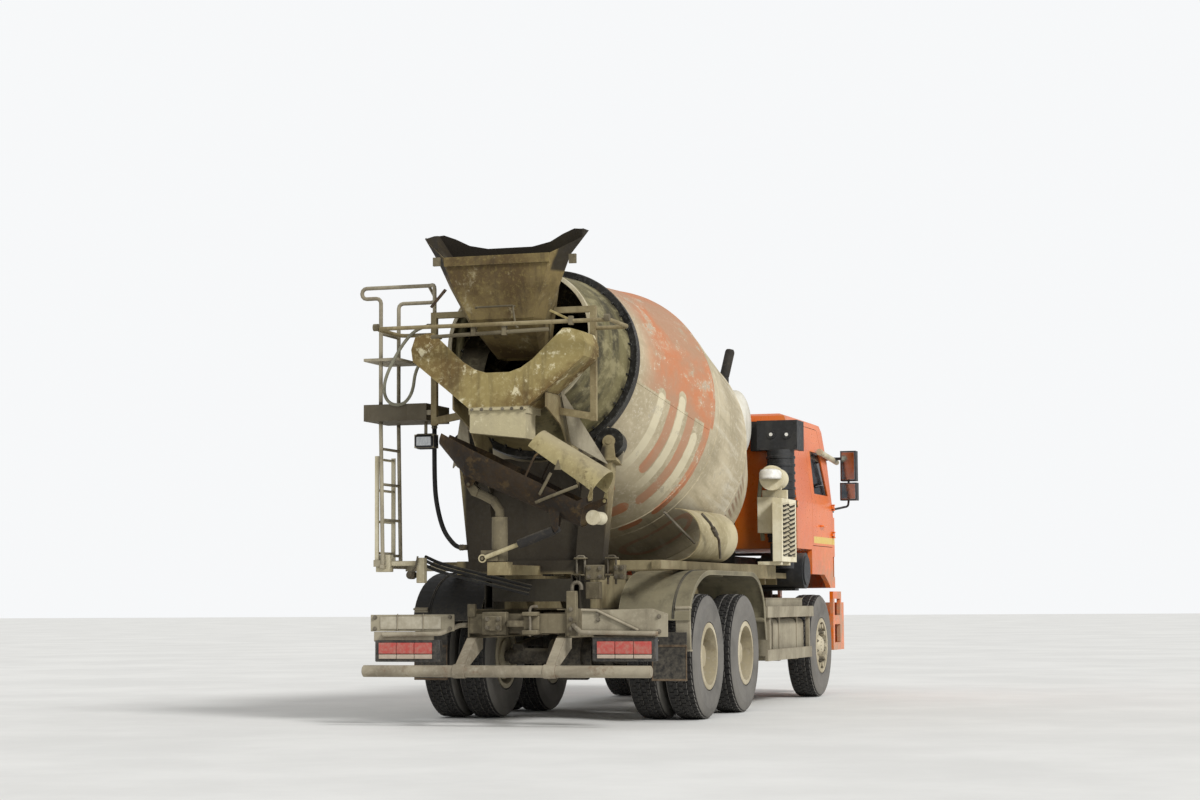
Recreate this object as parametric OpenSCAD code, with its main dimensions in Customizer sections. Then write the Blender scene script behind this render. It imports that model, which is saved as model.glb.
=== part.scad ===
// Concrete mixer truck, six by four, with a rear discharge drum on a tilted axis.
// x runs forward, y to the left and z up. Places along the truck are measured
// from the rearmost axle and heights from the ground.

/* [Chassis] */
// Front face of the bumper
bumper_front_x = 6360; // [6340:5:6380]
// Distance between the two rear axles
bogie_pitch = 1320; // [1300:10:1360]
// Distance from the front axle to the middle axle
wheelbase = 3690; // [3670:10:3710]
// Half the width over the frame rails
rail_half = 430; // [425:1:435]
// Height of the top of the frame rails
rail_top = 965; // [955:5:975]
// Depth of the frame rails
rail_depth = 240; // [220:5:245]
// Thickness of the rail's web and flanges
rail_wall = 10; // [8:1:14]
// Width of the rail's flanges
rail_flange = 80; // [75:1:84]
// Rear end of the frame rails
rail_rear_x = -1540; // [-1560:10:-1520]
// Front end of the frame rails
rail_front_x = 6150; // [6140:5:6160]
// Radius of the holes in the towing lugs
tow_bore_r = 20; // [16:1:24]
// Radius of the cab's front pivot pins
pivot_r = 20; // [16:1:24]

/* [Wheels] */
// Outer radius of the tyres
tyre_r = 542.5; // [535:2.5:545]
// Width of one tyre
tyre_w = 285; // [270:5:295]
// Radius of the rim where the tyre sits
rim_r = 262; // [254:2:266]
// Distance from the middle plane to the outer face of the front tyres
front_face_y = 1170; // [1160:5:1180]
// Distance from the middle plane to the outer face of the rear twin tyres
rear_face_y = 1245; // [1235:5:1250]
// Distance between the centres of twin tyres
twin_pitch = 330; // [320:5:340]
// Distance from the middle plane to the kingpins
kingpin_y = 840; // [825:5:840]
// Radius of the kingpins
kingpin_r = 22; // [18:1:26]
// Radius of the wheel spindles
spindle_r = 50; // [40:2:56]

/* [Drum] */
// Tilt of the drum axis in degrees
drum_tilt = 13; // [12.8:0.1:13.2]
// Height of the drum axis above the rearmost axle
drum_z = 2877; // [2870:1:2890]
// Wall of the drum
drum_wall = 16; // [10:1:20]
// Radius of the drum's mouth
mouth_r = 620; // [600:5:630]
// Outer radius of the roller track
track_r = 851; // [845:1:856]
// Width of the roller track
track_w = 90; // [80:5:100]
// Largest radius of the drum
belly_r = 1160; // [1140:5:1165]
// Radius of the drum where the front cone ends
cone_r = 895; // [880:5:905]
// Radius of the support rollers
roller_r = 125; // [115:1:130]
// Length of the support rollers
roller_w = 110; // [100:5:120]
// Distance of the rollers from the middle plane
roller_y = 650; // [640:5:660]
// Radius of the drum gearbox
gearbox_r = 210; // [190:5:220]

/* [Chute] */
// Place of the swivel column from the rearmost axle
column_x = -1950; // [-1955:1:-1945]
// Radius of the swivel column's pin
column_r = 35; // [30:1:40]
// Slope of the main chute in degrees
chute_slope = 26; // [25:0.5:27]
// Radius of the main chute at its deepest place
chute_r = 240; // [230:5:245]
// Radius of the main chute at its outlet
outlet_r = 190; // [185:1:195]
// Wall of the chutes
chute_wall = 8; // [6:1:10]
// Length of the main chute
chute_len = 1400; // [1390:5:1405]
// Length of the folding chute
fold_len = 690; // [670:10:700]
// Radius of the chute's hinge pins
hinge_r = 14; // [10:1:16]

/* [Cab] */
// Rear wall of the cab
cab_rear_x = 3930; // [3925:5:3940]
// Front face of the cab
cab_front_x = 6250; // [6240:5:6260]
// Half the width of the cab at the belt line
cab_half = 1150; // [1140:5:1155]
// Height of the cab's roof
roof_z = 2965; // [2950:5:2975]
// Height of the cab's floor
floor_z = 1560; // [1550:5:1570]
// Thickness of the cab's walls and doors
cab_wall = 50; // [40:5:60]
// Rear edge of the doors
door_rear_x = 4690; // [4680:5:4700]
// Front edge of the doors
door_front_x = 5690; // [5680:5:5695]
// Gap around doors and lids
panel_gap = 6; // [5:1:8]
// Thickness of the window glass
glass_t = 6; // [5:1:8]

/* [Body] */
// Distance from the middle plane to the outer edge of the fenders
side_y = 1250; // [1250:1:1255]
// Height of the rear fenders' top
fender_top = 1290; // [1280:5:1300]
// Height of the underrun bar
bar_z = 460; // [450:5:480]
// Radius of the underrun bar
bar_r = 49; // [42:1:52]
// Depth of the mixer's own frame rails
sub_depth = 290; // [280:5:295]
// Clearance between pieces that lie close but do not touch
fit_gap = 0.3; // [0.2:0.1:0.5]
// Radial clearance of a pin in its bore
pin_gap = 0.05; // [0.03:0.01:0.1]
// Radius of the hand rails
pipe_r = 17; // [14:1:18]

/* [Hidden] */
$fn = 48;

// The origin is under the middle of the truck's length, which runs from the
// chute's rear rim to the bumper.
rear_axle_x = -(bumper_front_x + column_x - chute_r) / 2;
front_axle_x = bogie_pitch + wheelbase;
rail_low = rail_top - rail_depth;
rail_in = rail_half - rail_flange;
sub_low = rail_top + fit_gap;
sub_top = sub_low + sub_depth;
sub_out = rail_half - 5;
sub_in = sub_out - 80;
deck_low = fender_top + fit_gap;
deck_top = deck_low + 80;
beam_in = 960;
beam_out = 1040;
ped_x = -1000;
wheel_z = tyre_r;

// Colours as in the photo
paint_orange = [0.95, 0.38, 0.06];
paint_beige = [0.80, 0.76, 0.64];
dust_grey = [0.62, 0.60, 0.54];
concrete_brown = [0.45, 0.38, 0.24];
olive = [0.55, 0.54, 0.36];
dark_steel = [0.16, 0.15, 0.14];
black_plastic = [0.10, 0.10, 0.11];
rubber = [0.09, 0.09, 0.09];
glass_tint = [0.55, 0.65, 0.70, 0.4];

function unit(v) = v / norm(v);
function arc(cx, cy, r, a0, a1, n) =
    [for (i = [0:n]) let (a = a0 + (a1 - a0) * i / n) [cx + r * cos(a), cy + r * sin(a)]];
function oval(cx, cy, rx, ry, a0, a1, n) =
    [for (i = [0:n]) let (a = a0 + (a1 - a0) * i / n) [cx + rx * cos(a), cy + ry * sin(a)]];
function flip_y(pts) = [for (i = [len(pts) - 1:-1:0]) [pts[i][0], -pts[i][1]]];
function flip_x(pts) = [for (i = [len(pts) - 1:-1:0]) [-pts[i][0], pts[i][1]]];

// Rounds the corners of a route with arcs of radius r in n steps
function corner(a0, p, b0, r, n) =
    let (a = unit(a0 - p), b = unit(b0 - p), half = acos(a * b) / 2,
         c = p + unit(a + b) * r / sin(half),
         v0 = p + a * r / tan(half) - c, v1 = p + b * r / tan(half) - c,
         turn = 180 - 2 * half)
    [for (k = [0:n]) c + (sin((1 - k / n) * turn) * v0 + sin(k / n * turn) * v1) / sin(turn)];
function bend(p, r, n = 3) =
    concat([p[0]],
           [for (i = [1:len(p) - 2]) each corner(p[i - 1], p[i], p[i + 1], r, n)],
           [p[len(p) - 1]]);

function tangents(p) =
    [for (i = [0:len(p) - 1]) unit(p[min(i + 1, len(p) - 1)] - p[max(i - 1, 0)])];
function sides(t, i, last) =
    i >= len(t) ? [] :
    let (s = unit(last - t[i] * (last * t[i]))) concat([s], sides(t, i + 1, s));
function skin(rings, n) =
    concat([[for (j = [0:n - 1]) j]],
           [for (i = [0:rings - 2]) for (j = [0:n - 1]) let (k = (j + 1) % n)
               each [[i * n + k, i * n + j, (i + 1) * n + j],
                     [i * n + k, (i + 1) * n + j, (i + 1) * n + k]]],
           [[for (j = [n - 1:-1:0]) (rings - 1) * n + j]]);

// A round tube along a route
module tube(p, r, n = 10) {
    t = tangents(p);
    s = sides(t, 0, abs(t[0][2]) < 0.9 ? [0, 0, 1] : [1, 0, 0]);
    polyhedron(
        points = [for (i = [0:len(p) - 1]) for (j = [0:n - 1])
            p[i] + r * (cos(360 * j / n) * s[i] + sin(360 * j / n) * cross(t[i], s[i]))],
        faces = skin(len(p), n), convexity = 6);
}

// A closed body through rings of points that all run the same way round
module loft(rings) {
    n = len(rings[0]);
    polyhedron(points = [for (r = rings) each r], faces = skin(len(rings), n), convexity = 6);
}

module at_axle() translate([rear_axle_x, 0, 0]) children();
module both_sides() {
    children();
    mirror([0, 1, 0]) children();
}
module block(x0, x1, y0, y1, z0, z1) translate([x0, y0, z0]) cube([x1 - x0, y1 - y0, z1 - z0]);
module box_tube(x0, x1, y0, y1, z0, z1, t) {
    difference() {
        block(x0, x1, y0, y1, z0, z1);
        block(x0 - 1, x1 + 1, y0 + t, y1 - t, z0 + t, z1 - t);
    }
}
// A plate drawn in x and z, from y0 to y1
module side_plate(pts, y0, y1)
    translate([0, y1, 0]) rotate([90, 0, 0]) linear_extrude(y1 - y0) polygon(pts);
// A plate drawn in y and z, from x0 to x1
module cross_plate(pts, x0, x1)
    translate([x0, 0, 0]) rotate([90, 0, 90]) linear_extrude(x1 - x0) polygon(pts);
// A plate drawn in x and y, from z0 to z1
module flat_plate(pts, z0, z1) translate([0, 0, z0]) linear_extrude(z1 - z0) polygon(pts);
module rod(p, q, r) {
    d = q - p;
    translate(p) rotate([0, acos(d[2] / norm(d)), atan2(d[1], d[0])]) cylinder(h = norm(d), r = r);
}
module across(x, y0, y1, z, r) translate([x, y0, z]) rotate([-90, 0, 0]) cylinder(h = y1 - y0, r = r);

// Chassis

// Lugs on the rail fronts carry the cab's pivot pins
lug_x = 6120;
lug_z = 1050;
cab_lug_in = rail_half + 10;
cab_lug_t = 25;
tow_x = rail_rear_x - 75;
tow_t = 50;
tow_z = rail_low + 120;
members = [rail_rear_x + 40, -700, 350, 970, 2300, 3150];

module cross_member(x) {
    low = rail_low + 40;
    top = rail_top - 40;
    side_plate([[x - 35, low], [x + 35, low], [x + 35, low + rail_wall],
                [x - 35 + rail_wall, low + rail_wall], [x - 35 + rail_wall, top - rail_wall],
                [x + 35, top - rail_wall], [x + 35, top], [x - 35, top]],
               -rail_half + rail_wall, rail_half - rail_wall);
}

module chassis_frame() color(dark_steel) at_axle() {
    both_sides() {
        cross_plate([[rail_in, rail_low], [rail_half, rail_low], [rail_half, rail_top],
                     [rail_in, rail_top], [rail_in, rail_top - rail_wall],
                     [rail_half - rail_wall, rail_top - rail_wall],
                     [rail_half - rail_wall, rail_low + rail_wall],
                     [rail_in, rail_low + rail_wall]], rail_rear_x, rail_front_x);
        block(lug_x - 50, lug_x + 30, rail_in, rail_half, rail_top - 1, lug_z + 45);
        across(lug_x, rail_in, cab_lug_in + cab_lug_t + 5, lug_z, pivot_r);
        // Post that the cab's rear end rests on
        block(3980, 4060, rail_in, rail_half, rail_top - 1, floor_z - fit_gap);
    }
    for (x = members) cross_member(x);
    // Rear towing jaw
    difference() {
        flat_plate(concat([[rail_rear_x + 8, 90], [tow_x, 60]], arc(tow_x, 0, 60, 90, 270, 12),
                          [[rail_rear_x + 8, -90]]), tow_z - tow_t / 2, tow_z + tow_t / 2);
        translate([tow_x, 0, tow_z - tow_t]) cylinder(h = 2 * tow_t, r = tow_bore_r);
    }
}

bumper_top = 1000;
bumper_low = 480;
step_x = 5665;
bumper_half = 1155;
bumper_wall = 40;

module front_bumper() color(paint_orange) at_axle() {
    // Face with a lower air slot
    difference() {
        flat_plate([[6150, bumper_half], [6230, bumper_half], [6330, 1080],
                    [bumper_front_x, 850], [bumper_front_x, -850], [6330, -1080],
                    [6230, -bumper_half], [6150, -bumper_half]], bumper_low, bumper_top);
        flat_plate([[6140, bumper_half - bumper_wall], [6210, bumper_half - bumper_wall],
                    [6295, 1050], [bumper_front_x - bumper_wall, 835],
                    [bumper_front_x - bumper_wall, -835], [6295, -1050],
                    [6210, -bumper_half + bumper_wall], [6140, -bumper_half + bumper_wall]],
                   bumper_low - 1, bumper_top + 1);
        block(6200, 6400, -400, 400, 620, 700);
        both_sides() block(6200, 6400, 640, 940, 760, 900);
    }
    // Step box beside the wheel
    both_sides() {
        difference() {
            block(step_x, 6151, bumper_half - bumper_wall, bumper_half, bumper_low, 1120);
            block(5740, 6040, bumper_half - bumper_wall - 1, bumper_half + 1, 560, 760);
            block(5740, 6040, bumper_half - bumper_wall - 1, bumper_half + 1, 860, 1040);
            block(6100, 6160, bumper_half - bumper_wall - 1, bumper_half + 1, bumper_top, 1130);
        }
        block(step_x, 6100, 900, bumper_half - bumper_wall + 1, 540, 560);
        block(step_x, 6100, 900, bumper_half - bumper_wall + 1, 840, 860);
        block(step_x, step_x + 15, 900, bumper_half - bumper_wall + 1, 540, 860);
        // Arm to the frame rail
        block(6060, 6130, rail_half + fit_gap, 901, 540, 590);
        block(6060, 6130, rail_half + fit_gap, rail_half + 20, 540, rail_low + 150);
        block(6060, 6100, 880, 901, 540, 860);
        // Lamp behind the face
        block(6240, 6312, 645, 935, 765, 895);
        block(6240, 6330, 600, 645, 700, 900);
    }
}

module front_axle() color(dark_steel) at_axle() {
    // Dropped beam with eyes for the kingpins
    difference() {
        union() {
            cross_plate([[-kingpin_y, wheel_z - 60], [-kingpin_y, wheel_z + 60],
                         [-700, wheel_z + 60], [-560, wheel_z], [560, wheel_z],
                         [700, wheel_z + 60], [kingpin_y, wheel_z + 60],
                         [kingpin_y, wheel_z - 60], [700, wheel_z - 60], [560, wheel_z - 100],
                         [-560, wheel_z - 100], [-700, wheel_z - 60]],
                        front_axle_x - 45, front_axle_x + 45);
            both_sides() translate([front_axle_x, kingpin_y, wheel_z - 60])
                cylinder(h = 120, r = 40);
        }
        both_sides() translate([front_axle_x, kingpin_y, wheel_z - 61])
            cylinder(h = 122, r = kingpin_r + pin_gap);
    }
    both_sides() {
        // Leaf pack with its hangers under the rail
        side_plate([[4230, 660], [4600, 620], [5010, 600], [5420, 620], [5790, 660],
                    [5790, 640], [5420, 590], [5200, 565], [5010, 560], [4820, 565],
                    [4600, 590], [4230, 640]], rail_in, rail_half);
        block(4200, 4260, rail_in, rail_half, 630, rail_low - fit_gap);
        block(5760, 5820, rail_in, rail_half, 630, rail_low - fit_gap);
        block(front_axle_x - 70, front_axle_x + 70, rail_in, rail_half, wheel_z - 20, 605);
        // Shock absorber
        rod([5180, rail_half + 50, 520], [5300, rail_half + 50, 860], 32);
        block(5060, 5180, rail_half - 40, rail_half + 80, 470, 530);
        across(5300, rail_half + fit_gap, rail_half + 60, 860, 22);
    }
}

axle_r = 70;
housing_end = 600;
spindle_end = 1130;

module rear_bogie() color(dark_steel) at_axle() {
    for (x = [0, bogie_pitch]) {
        across(x, -housing_end, housing_end, wheel_z, axle_r);
        across(x, -spindle_end, spindle_end, wheel_z, spindle_r);
        across(x, -120, 120, wheel_z, 210);
        across(x, -200, 200, wheel_z, 150);
        // Nose of the final drive
        translate([x, 0, wheel_z + 60]) rotate([0, 90, 0]) cylinder(h = 300, r = 90);
    }
    mid = bogie_pitch / 2;
    both_sides() {
        // Leaf pack on the centre bearing
        side_plate([[-70, 650], [250, 690], [mid, 720], [bogie_pitch - 250, 690],
                    [bogie_pitch + 70, 650], [bogie_pitch + 70, 620],
                    [bogie_pitch - 250, 635], [mid + 150, 620], [mid - 150, 620],
                    [250, 635], [-70, 620]], 460, 550);
        for (x = [0, bogie_pitch]) block(x - 60, x + 60, 455, 555, wheel_z + 50, 625);
        // Bracket on the rail's web
        side_plate([[mid - 220, rail_top - 40], [mid + 220, rail_top - 40], [mid + 150, 560],
                    [mid + 90, 470], [mid - 90, 470], [mid - 150, 560]],
                   rail_half + fit_gap, 461);
        across(mid, rail_half + fit_gap, 570, 560, 75);
        // Torque rods
        rod([40, 330, 440], [mid - 40, 330, 500], 26);
        rod([bogie_pitch - 40, 330, 440], [mid + 40, 330, 500], 26);
        for (x = [0, bogie_pitch]) block(x - 40, x + 40, 295, 365, 420, wheel_z);
        block(mid - 60, mid + 60, 300, rail_half + 5, 470, 530);
    }
    // Drive shafts
    rod([280, 0, wheel_z + 60], [bogie_pitch - 180, 0, wheel_z + 40], 45);
    rod([bogie_pitch + 290, 0, wheel_z + 60], [3736, 0, 699], 45);
    translate([bogie_pitch + 300, 0, wheel_z + 60]) rotate([0, 90, 0]) cylinder(h = 50, r = 70);
}

module engine() color(dark_steel) at_axle() {
    block(4550, 5750, -270, 270, 760, 1500);
    // Gearbox and its output flange
    block(3800, 4551, -220, 220, 600, 1000);
    translate([3740, 0, 700]) rotate([0, 90, 0]) cylinder(h = 61, r = 80);
    // Mounts on the rails
    for (x = [4700, 5500]) block(x, x + 90, -rail_half + rail_wall + fit_gap,
                                 rail_half - rail_wall - fit_gap, 830, 880);
    // Radiator with its fan shroud
    block(5900, 5980, -400, 400, rail_top + fit_gap, 1500);
    block(5749, 5901, -240, 240, 1000, 1400);
}

module fuel_tank() color(dust_grey) at_axle() {
    tank_out = -1120;
    tank_in = -560;
    r = 70;
    translate([2920, 0, 0]) rotate([90, 0, 90]) linear_extrude(1380)
        polygon(concat(arc(tank_out + r, 850 - r, r, 90, 180, 6),
                       arc(tank_out + r, 430 + r, r, 180, 270, 6),
                       arc(tank_in - r, 430 + r, r, 270, 360, 6),
                       arc(tank_in - r, 850 - r, r, 0, 90, 6)));
    // Straps and brackets to the rail
    for (x = [3150, 3950]) {
        block(x, x + 60, -1126, -540, 424, 431);
        block(x, x + 60, -1126, -1119, 424, 856);
        block(x, x + 60, -1126, -540, 849, 856);
        block(x - 10, x + 70, -560, -rail_half - fit_gap, 600, 660);
        block(x - 10, x + 70, -rail_half - 30, -rail_half - fit_gap, 600, rail_top - 20);
    }
    // Filler neck
    translate([3060, -1000, 840]) cylinder(h = 34, r = 45);
}

module battery_box() color(dust_grey) at_axle() {
    block(2670, 4300, -1110, -600, 905, 1040);
    block(2640, 4310, -1115, -590, 1040, 1050);
    for (x = [2750, 3500, 4200]) block(x, x + 60, -601, -rail_half - fit_gap, 920, 960);
    // Lower locker behind the tank
    block(2670, 2900, -1110, -600, 480, 906);
    // Air tanks and a locker on the other side
    for (y = [700, 960]) {
        translate([2500, y, 720]) rotate([0, 90, 0]) cylinder(h = 900, r = 120);
        for (x = [2700, 3200]) block(x, x + 40, y - 125, y + 125, 595, 625);
    }
    for (x = [2700, 3200]) {
        block(x, x + 40, rail_half + fit_gap, 1085, 570, 600);
        block(x, x + 40, rail_half + fit_gap, rail_half + 30, 570, rail_top - 20);
    }
    block(3480, 4300, 600, 1110, 480, 1040);
    block(3560, 4220, rail_half + fit_gap, 601, 800, 900);
}

module side_guards() color(dust_grey) at_axle() both_sides() {
    block(2360, 4440, 1175, 1200, 858, 966);
    block(2350, 4340, 1175, 1200, 439, 548);
    for (x = [2560, 4335]) {
        block(x - 25, x + 25, 1140, 1176, 439, 966);
        across(x, rail_half + fit_gap, 1141, 900, 22);
    }
}

fender_in = 620;
fender_t = 8;
fender_rear = -700;
fender_front = 2070;
fender_mid = fender_top - 430;
fender_a = 750;
fender_b = 570;
flap_low = 650;

// Side view of the fender, drawn in by d from its outer face
function fender_line(d) = concat(
    oval(fender_rear + fender_a, fender_mid, fender_a - d, 430 - d, 180, 90, 12),
    oval(fender_front - fender_b, fender_mid, fender_b - d, 430 - d, 90, 0, 12),
    [[fender_front + 60 - d, flap_low]]);
function back(pts) = [for (i = [len(pts) - 1:-1:0]) pts[i]];

module rear_fenders() color(dust_grey) at_axle() both_sides() {
    side_plate(concat(fender_line(0), back(fender_line(fender_t))), fender_in, side_y);
    // Turned lip along the outer edge
    side_plate(concat(fender_line(0), back(fender_line(40))), side_y - 8, side_y);
    // Pipes that carry it from the frame
    across(fender_rear + 28, rail_half + fit_gap, side_y - 4, fender_mid + 30, 22);
    across(fender_front - 20, rail_half + fit_gap, side_y - 4, fender_mid - 20, 22);
    across(bogie_pitch / 2, sub_out + fit_gap, side_y - 60, fender_top - fender_t - 21, 22);
}

bar_x = -1840;
bar_half = 1237;

module underrun_bar() color(dust_grey) at_axle() {
    across(bar_x, -bar_half, bar_half, bar_z, bar_r);
    both_sides() {
        side_plate([[-1400, rail_low - fit_gap], [-1560, rail_low - fit_gap],
                    [bar_x - 35, bar_z + 20], [bar_x, bar_z - 45], [bar_x + 40, bar_z + 10],
                    [-1400, 640]], rail_in, rail_half);
        // Pipe and plate round the lamps
        tube(bend([[-1440, rail_half + fit_gap, 835], [-1440, 510, 835], [-1640, 700, 815],
                   [-1655, 1225, 785]], 60), 20, 10);
        block(-1655, -1645, 560, 1245, 780, 920);
        block(-1655, -1645, 690, 1225, 700, 781);
        block(-1655, -1560, 690, 1225, 700, 710);
    }
}

module tail_lamps() color([0.7, 0.1, 0.05]) at_axle() both_sides()
    block(-1660, -1580, 720, 1200, 546, 700 - fit_gap);

// Mixer frame and its pedestals

outriggers = [-800, 110, 750, 1340, 2020];

module mixer_subframe() color(dark_steel) at_axle() {
    both_sides() {
        box_tube(-1150, 3850, sub_in, sub_out, sub_low, sub_top, 10);
        // Side beams over the fenders and the deep one in front of them
        block(-840, 2100, beam_in, beam_out, deck_low + 5, deck_top);
        block(2099, 3410, beam_in, beam_out, deck_low - 50, deck_top + 5);
        block(3409, 3880, beam_in, beam_out, deck_low - 42, deck_low + 12);
        for (x = outriggers)
            cross_plate([[sub_in, sub_top - 1], [sub_out, sub_top - 1], [sub_out + 35, deck_low],
                         [beam_in + 1, deck_low], [beam_in + 1, deck_top],
                         [sub_in, deck_top]], x, x + 40);
        for (x = [2600, 3250, 3740])
            block(x, x + 60, sub_out - 1, beam_in + 1, sub_top - 70, sub_top);
    }
    for (x = [-1150, -300, 660, 1500, 2400, 3000, 3790])
        block(x, x + 60, -sub_in - 1, sub_in + 1, sub_low + 60, sub_top - 40);
}

module on_axis() translate([0, 0, drum_z]) rotate([0, 90 + drum_tilt, 0]) children();
module at_drum() at_axle() on_axis() children();

track_s = -826;
mouth_s = -1488;
belly_s = 495;
shoulder_s = 1834;
cone_s = 2928;
flange_s = 3090;
blade_seat = 1.8;
stub_r = 60;
roller_down = sqrt(pow(track_r + roller_r + fit_gap, 2) - roller_y * roller_y);
roller_pin = 28;
seat_down = roller_down + roller_r + 45;

// Collector floor height over its distance from the middle plane
function floor_z_at(y) = 2600 + (y - 250) * 400 / 490;
arm_y = 395;
arm_t = 12;
hopper_lug = 365;
post_y = 700;
post_x = -1607;
post_r = 23;

module rear_pedestal() color(concrete_brown) at_axle() {
    x0 = ped_x - 70;
    x1 = ped_x + 70;
    block(x0 - 10, x1 + 30, -700, 700, sub_top + fit_gap, 1370);
    both_sides() {
        difference() {
            cross_plate([[360, 1369], [600, 1369], [690, 2250], [440, 2250]], x0, x1);
            on_axis() translate([-500, -1000, track_s - 600]) cube([500 + seat_down, 2000, 1200]);
        }
        // Seat and cheeks of the roller
        on_axis() {
            translate([seat_down - 25, 540, track_s - 85]) cube([26, 190, 170]);
            for (s = [-1, 1]) translate([0, 0, track_s + s * (roller_w / 2 + 14) - 8])
                linear_extrude(16) polygon(concat(
                    [[seat_down - 5, roller_y - 85], [seat_down - 5, roller_y + 70]],
                    arc(roller_down, roller_y, 55, 60, 300, 12)));
            translate([roller_down, roller_y, track_s - roller_w / 2 - 28])
                cylinder(h = roller_w + 56, r = roller_pin);
        }
        // Arms that carry the collector
        side_plate([[-1960, 2600], [-1600, 2480], [-1530, 2440], [-1070, 1950],
                    [ped_x, 1950], [ped_x, 2150], [-1028, 2360], [-1590, 2685],
                    [-1600, floor_z_at(arm_y) - 2 * fit_gap],
                    [-1960, floor_z_at(arm_y) - 2 * fit_gap]], arm_y, arm_y + arm_t);
        // Uprights that carry the hopper
        block(post_x - post_r, post_x + post_r, post_y - 25, post_y + 25, 2500, 3450);
        block(post_x - post_r, post_x + post_r, hopper_lug, post_y + 25, 3400, 3450);
        cross_plate([[arm_y, 2560], [arm_y, 2620], [post_y + 25, 2560], [post_y + 25, 2500]],
                    post_x - post_r, post_x + post_r);
    }
    // Web between the posts, cut clear of the track
    difference() {
        cross_plate([[-490, 1369], [490, 1369], [600, 2240], [-600, 2240]],
                    ped_x - 8, ped_x + 8);
        on_axis() translate([0, 0, track_s - 400]) cylinder(h = 800, r = track_r + 30);
    }
    // Pipe round the back of the funnels
    tube(bend([[post_x, post_y + 24, 3265], [post_x, 1000, 3265], [-2155, 1000, 3265],
               [-2155, -1000, 3265], [post_x, -1000, 3265], [post_x, -post_y - 24, 3265]], 60),
         pipe_r, 10);
    // Hose fitting on the left post
    across(-1060, 605, 640 - fit_gap, 1490, 24);
    // Beam to the swivel column of the chute
    block(column_x + 60, x0, -60, 60, 1245, 1325);
    block(column_x - 80, column_x + 80, -80, 80, 1240, 1345);
    translate([column_x, 0, 1344]) cylinder(h = 340, r = column_r);
}

tank_x = 3445;
tank_z = 2820;
tank_r = 350;

module front_pedestal() color(dust_grey) at_axle() {
    difference() {
        union() {
            both_sides() {
                side_plate([[3060, sub_top + fit_gap], [3640, sub_top + fit_gap], [3480, 2060],
                            [tank_x + 55, tank_z - 260], [tank_x - 55, tank_z - 260],
                            [3340, 2060], [3080, 2060]], sub_in, sub_in + 30);
                block(3080, 3600, sub_in, sub_out, sub_top + fit_gap, sub_top + 20);
                block(tank_x - 145, tank_x + 145, sub_in - 60, sub_in + 90,
                      tank_z - 370, tank_z - 320);
            }
            block(3100, 3440, -sub_in - 1, sub_in + 1, 1840, 2060);
            block(3120, 3150, -sub_in - 1, sub_in + 1, 1400, 1841);
        }
        on_axis() translate([0, 0, 3000]) cylinder(h = 900, r = gearbox_r + fit_gap);
        across(tank_x, -900, 900, tank_z, tank_r + fit_gap);
    }
}

module drum_gearbox() color(dark_steel) at_drum() difference() {
    union() {
        translate([0, 0, flange_s + 5]) cylinder(h = 30, r = 130);
        translate([0, 0, flange_s + 34]) cylinder(h = 240, r = gearbox_r);
        translate([0, 0, flange_s + 273]) cylinder(h = 160, r = 100);
    }
    translate([0, 0, flange_s]) cylinder(h = 150, r = stub_r + pin_gap);
}

// Drum

outline = [[mouth_r, mouth_s], [belly_r, belly_s], [belly_r - 16, shoulder_s],
           [cone_r, cone_s], [750, 2990], [500, 3030], [240, 3050]];
function shell_r(s) = let (k = s < belly_s ? 0 : s < shoulder_s ? 1 : 2,
                           a = outline[k], b = outline[k + 1])
    a[0] + (b[0] - a[0]) * (s - a[1]) / (b[1] - a[1]) - drum_wall - blade_seat;

module drum() color(paint_beige) at_drum() rotate_extrude($fn = 96) {
    polygon(concat(outline, [[240, flange_s], [0, flange_s], [0, 3030],
                             [500 - drum_wall, 3030 - drum_wall],
                             [750 - drum_wall, 2990 - drum_wall],
                             [cone_r - drum_wall, cone_s - 6],
                             [belly_r - 16 - drum_wall, shoulder_s - 2],
                             [belly_r - drum_wall, belly_s],
                             [mouth_r - drum_wall, mouth_s]]));
    polygon([[track_r - 70, track_s - track_w / 2], [track_r, track_s - track_w / 2],
             [track_r, track_s + track_w / 2], [track_r - 45, track_s + track_w / 2]]);
    polygon([[mouth_r - 10, mouth_s], [mouth_r + 18, mouth_s], [mouth_r + 18, mouth_s + 35],
             [mouth_r, mouth_s + 35]]);
    translate([0, flange_s - 1]) square([stub_r, 140]);
}

// Two spiral blades inside the drum
blade_from = -1180;
blade_to = 2820;
blade_pitch = 1400;
blade_t = 8;
blade_steps = 60;

module blade(start) loft([for (i = [0:blade_steps])
    let (s = blade_from + (blade_to - blade_from) * i / blade_steps,
         a = start + 360 * (s - blade_from) / blade_pitch,
         c = cos(a), d = sin(a), r0 = 0.7 * shell_r(s),
         ra = shell_r(s - blade_t / 2), rb = shell_r(s + blade_t / 2))
    [[r0 * c, r0 * d, s - blade_t / 2], [ra * c, ra * d, s - blade_t / 2],
     [rb * c, rb * d, s + blade_t / 2], [r0 * c, r0 * d, s + blade_t / 2]]]);

module drum_blades() color(concrete_brown) at_drum() {
    blade(0);
    blade(180);
}

module roller(side) color(dark_steel) at_drum()
    translate([roller_down, side * roller_y, track_s - roller_w / 2]) difference() {
        cylinder(h = roller_w, r = roller_r);
        translate([0, 0, -1]) cylinder(h = roller_w + 2, r = roller_pin + pin_gap);
    }

// Funnels

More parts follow.
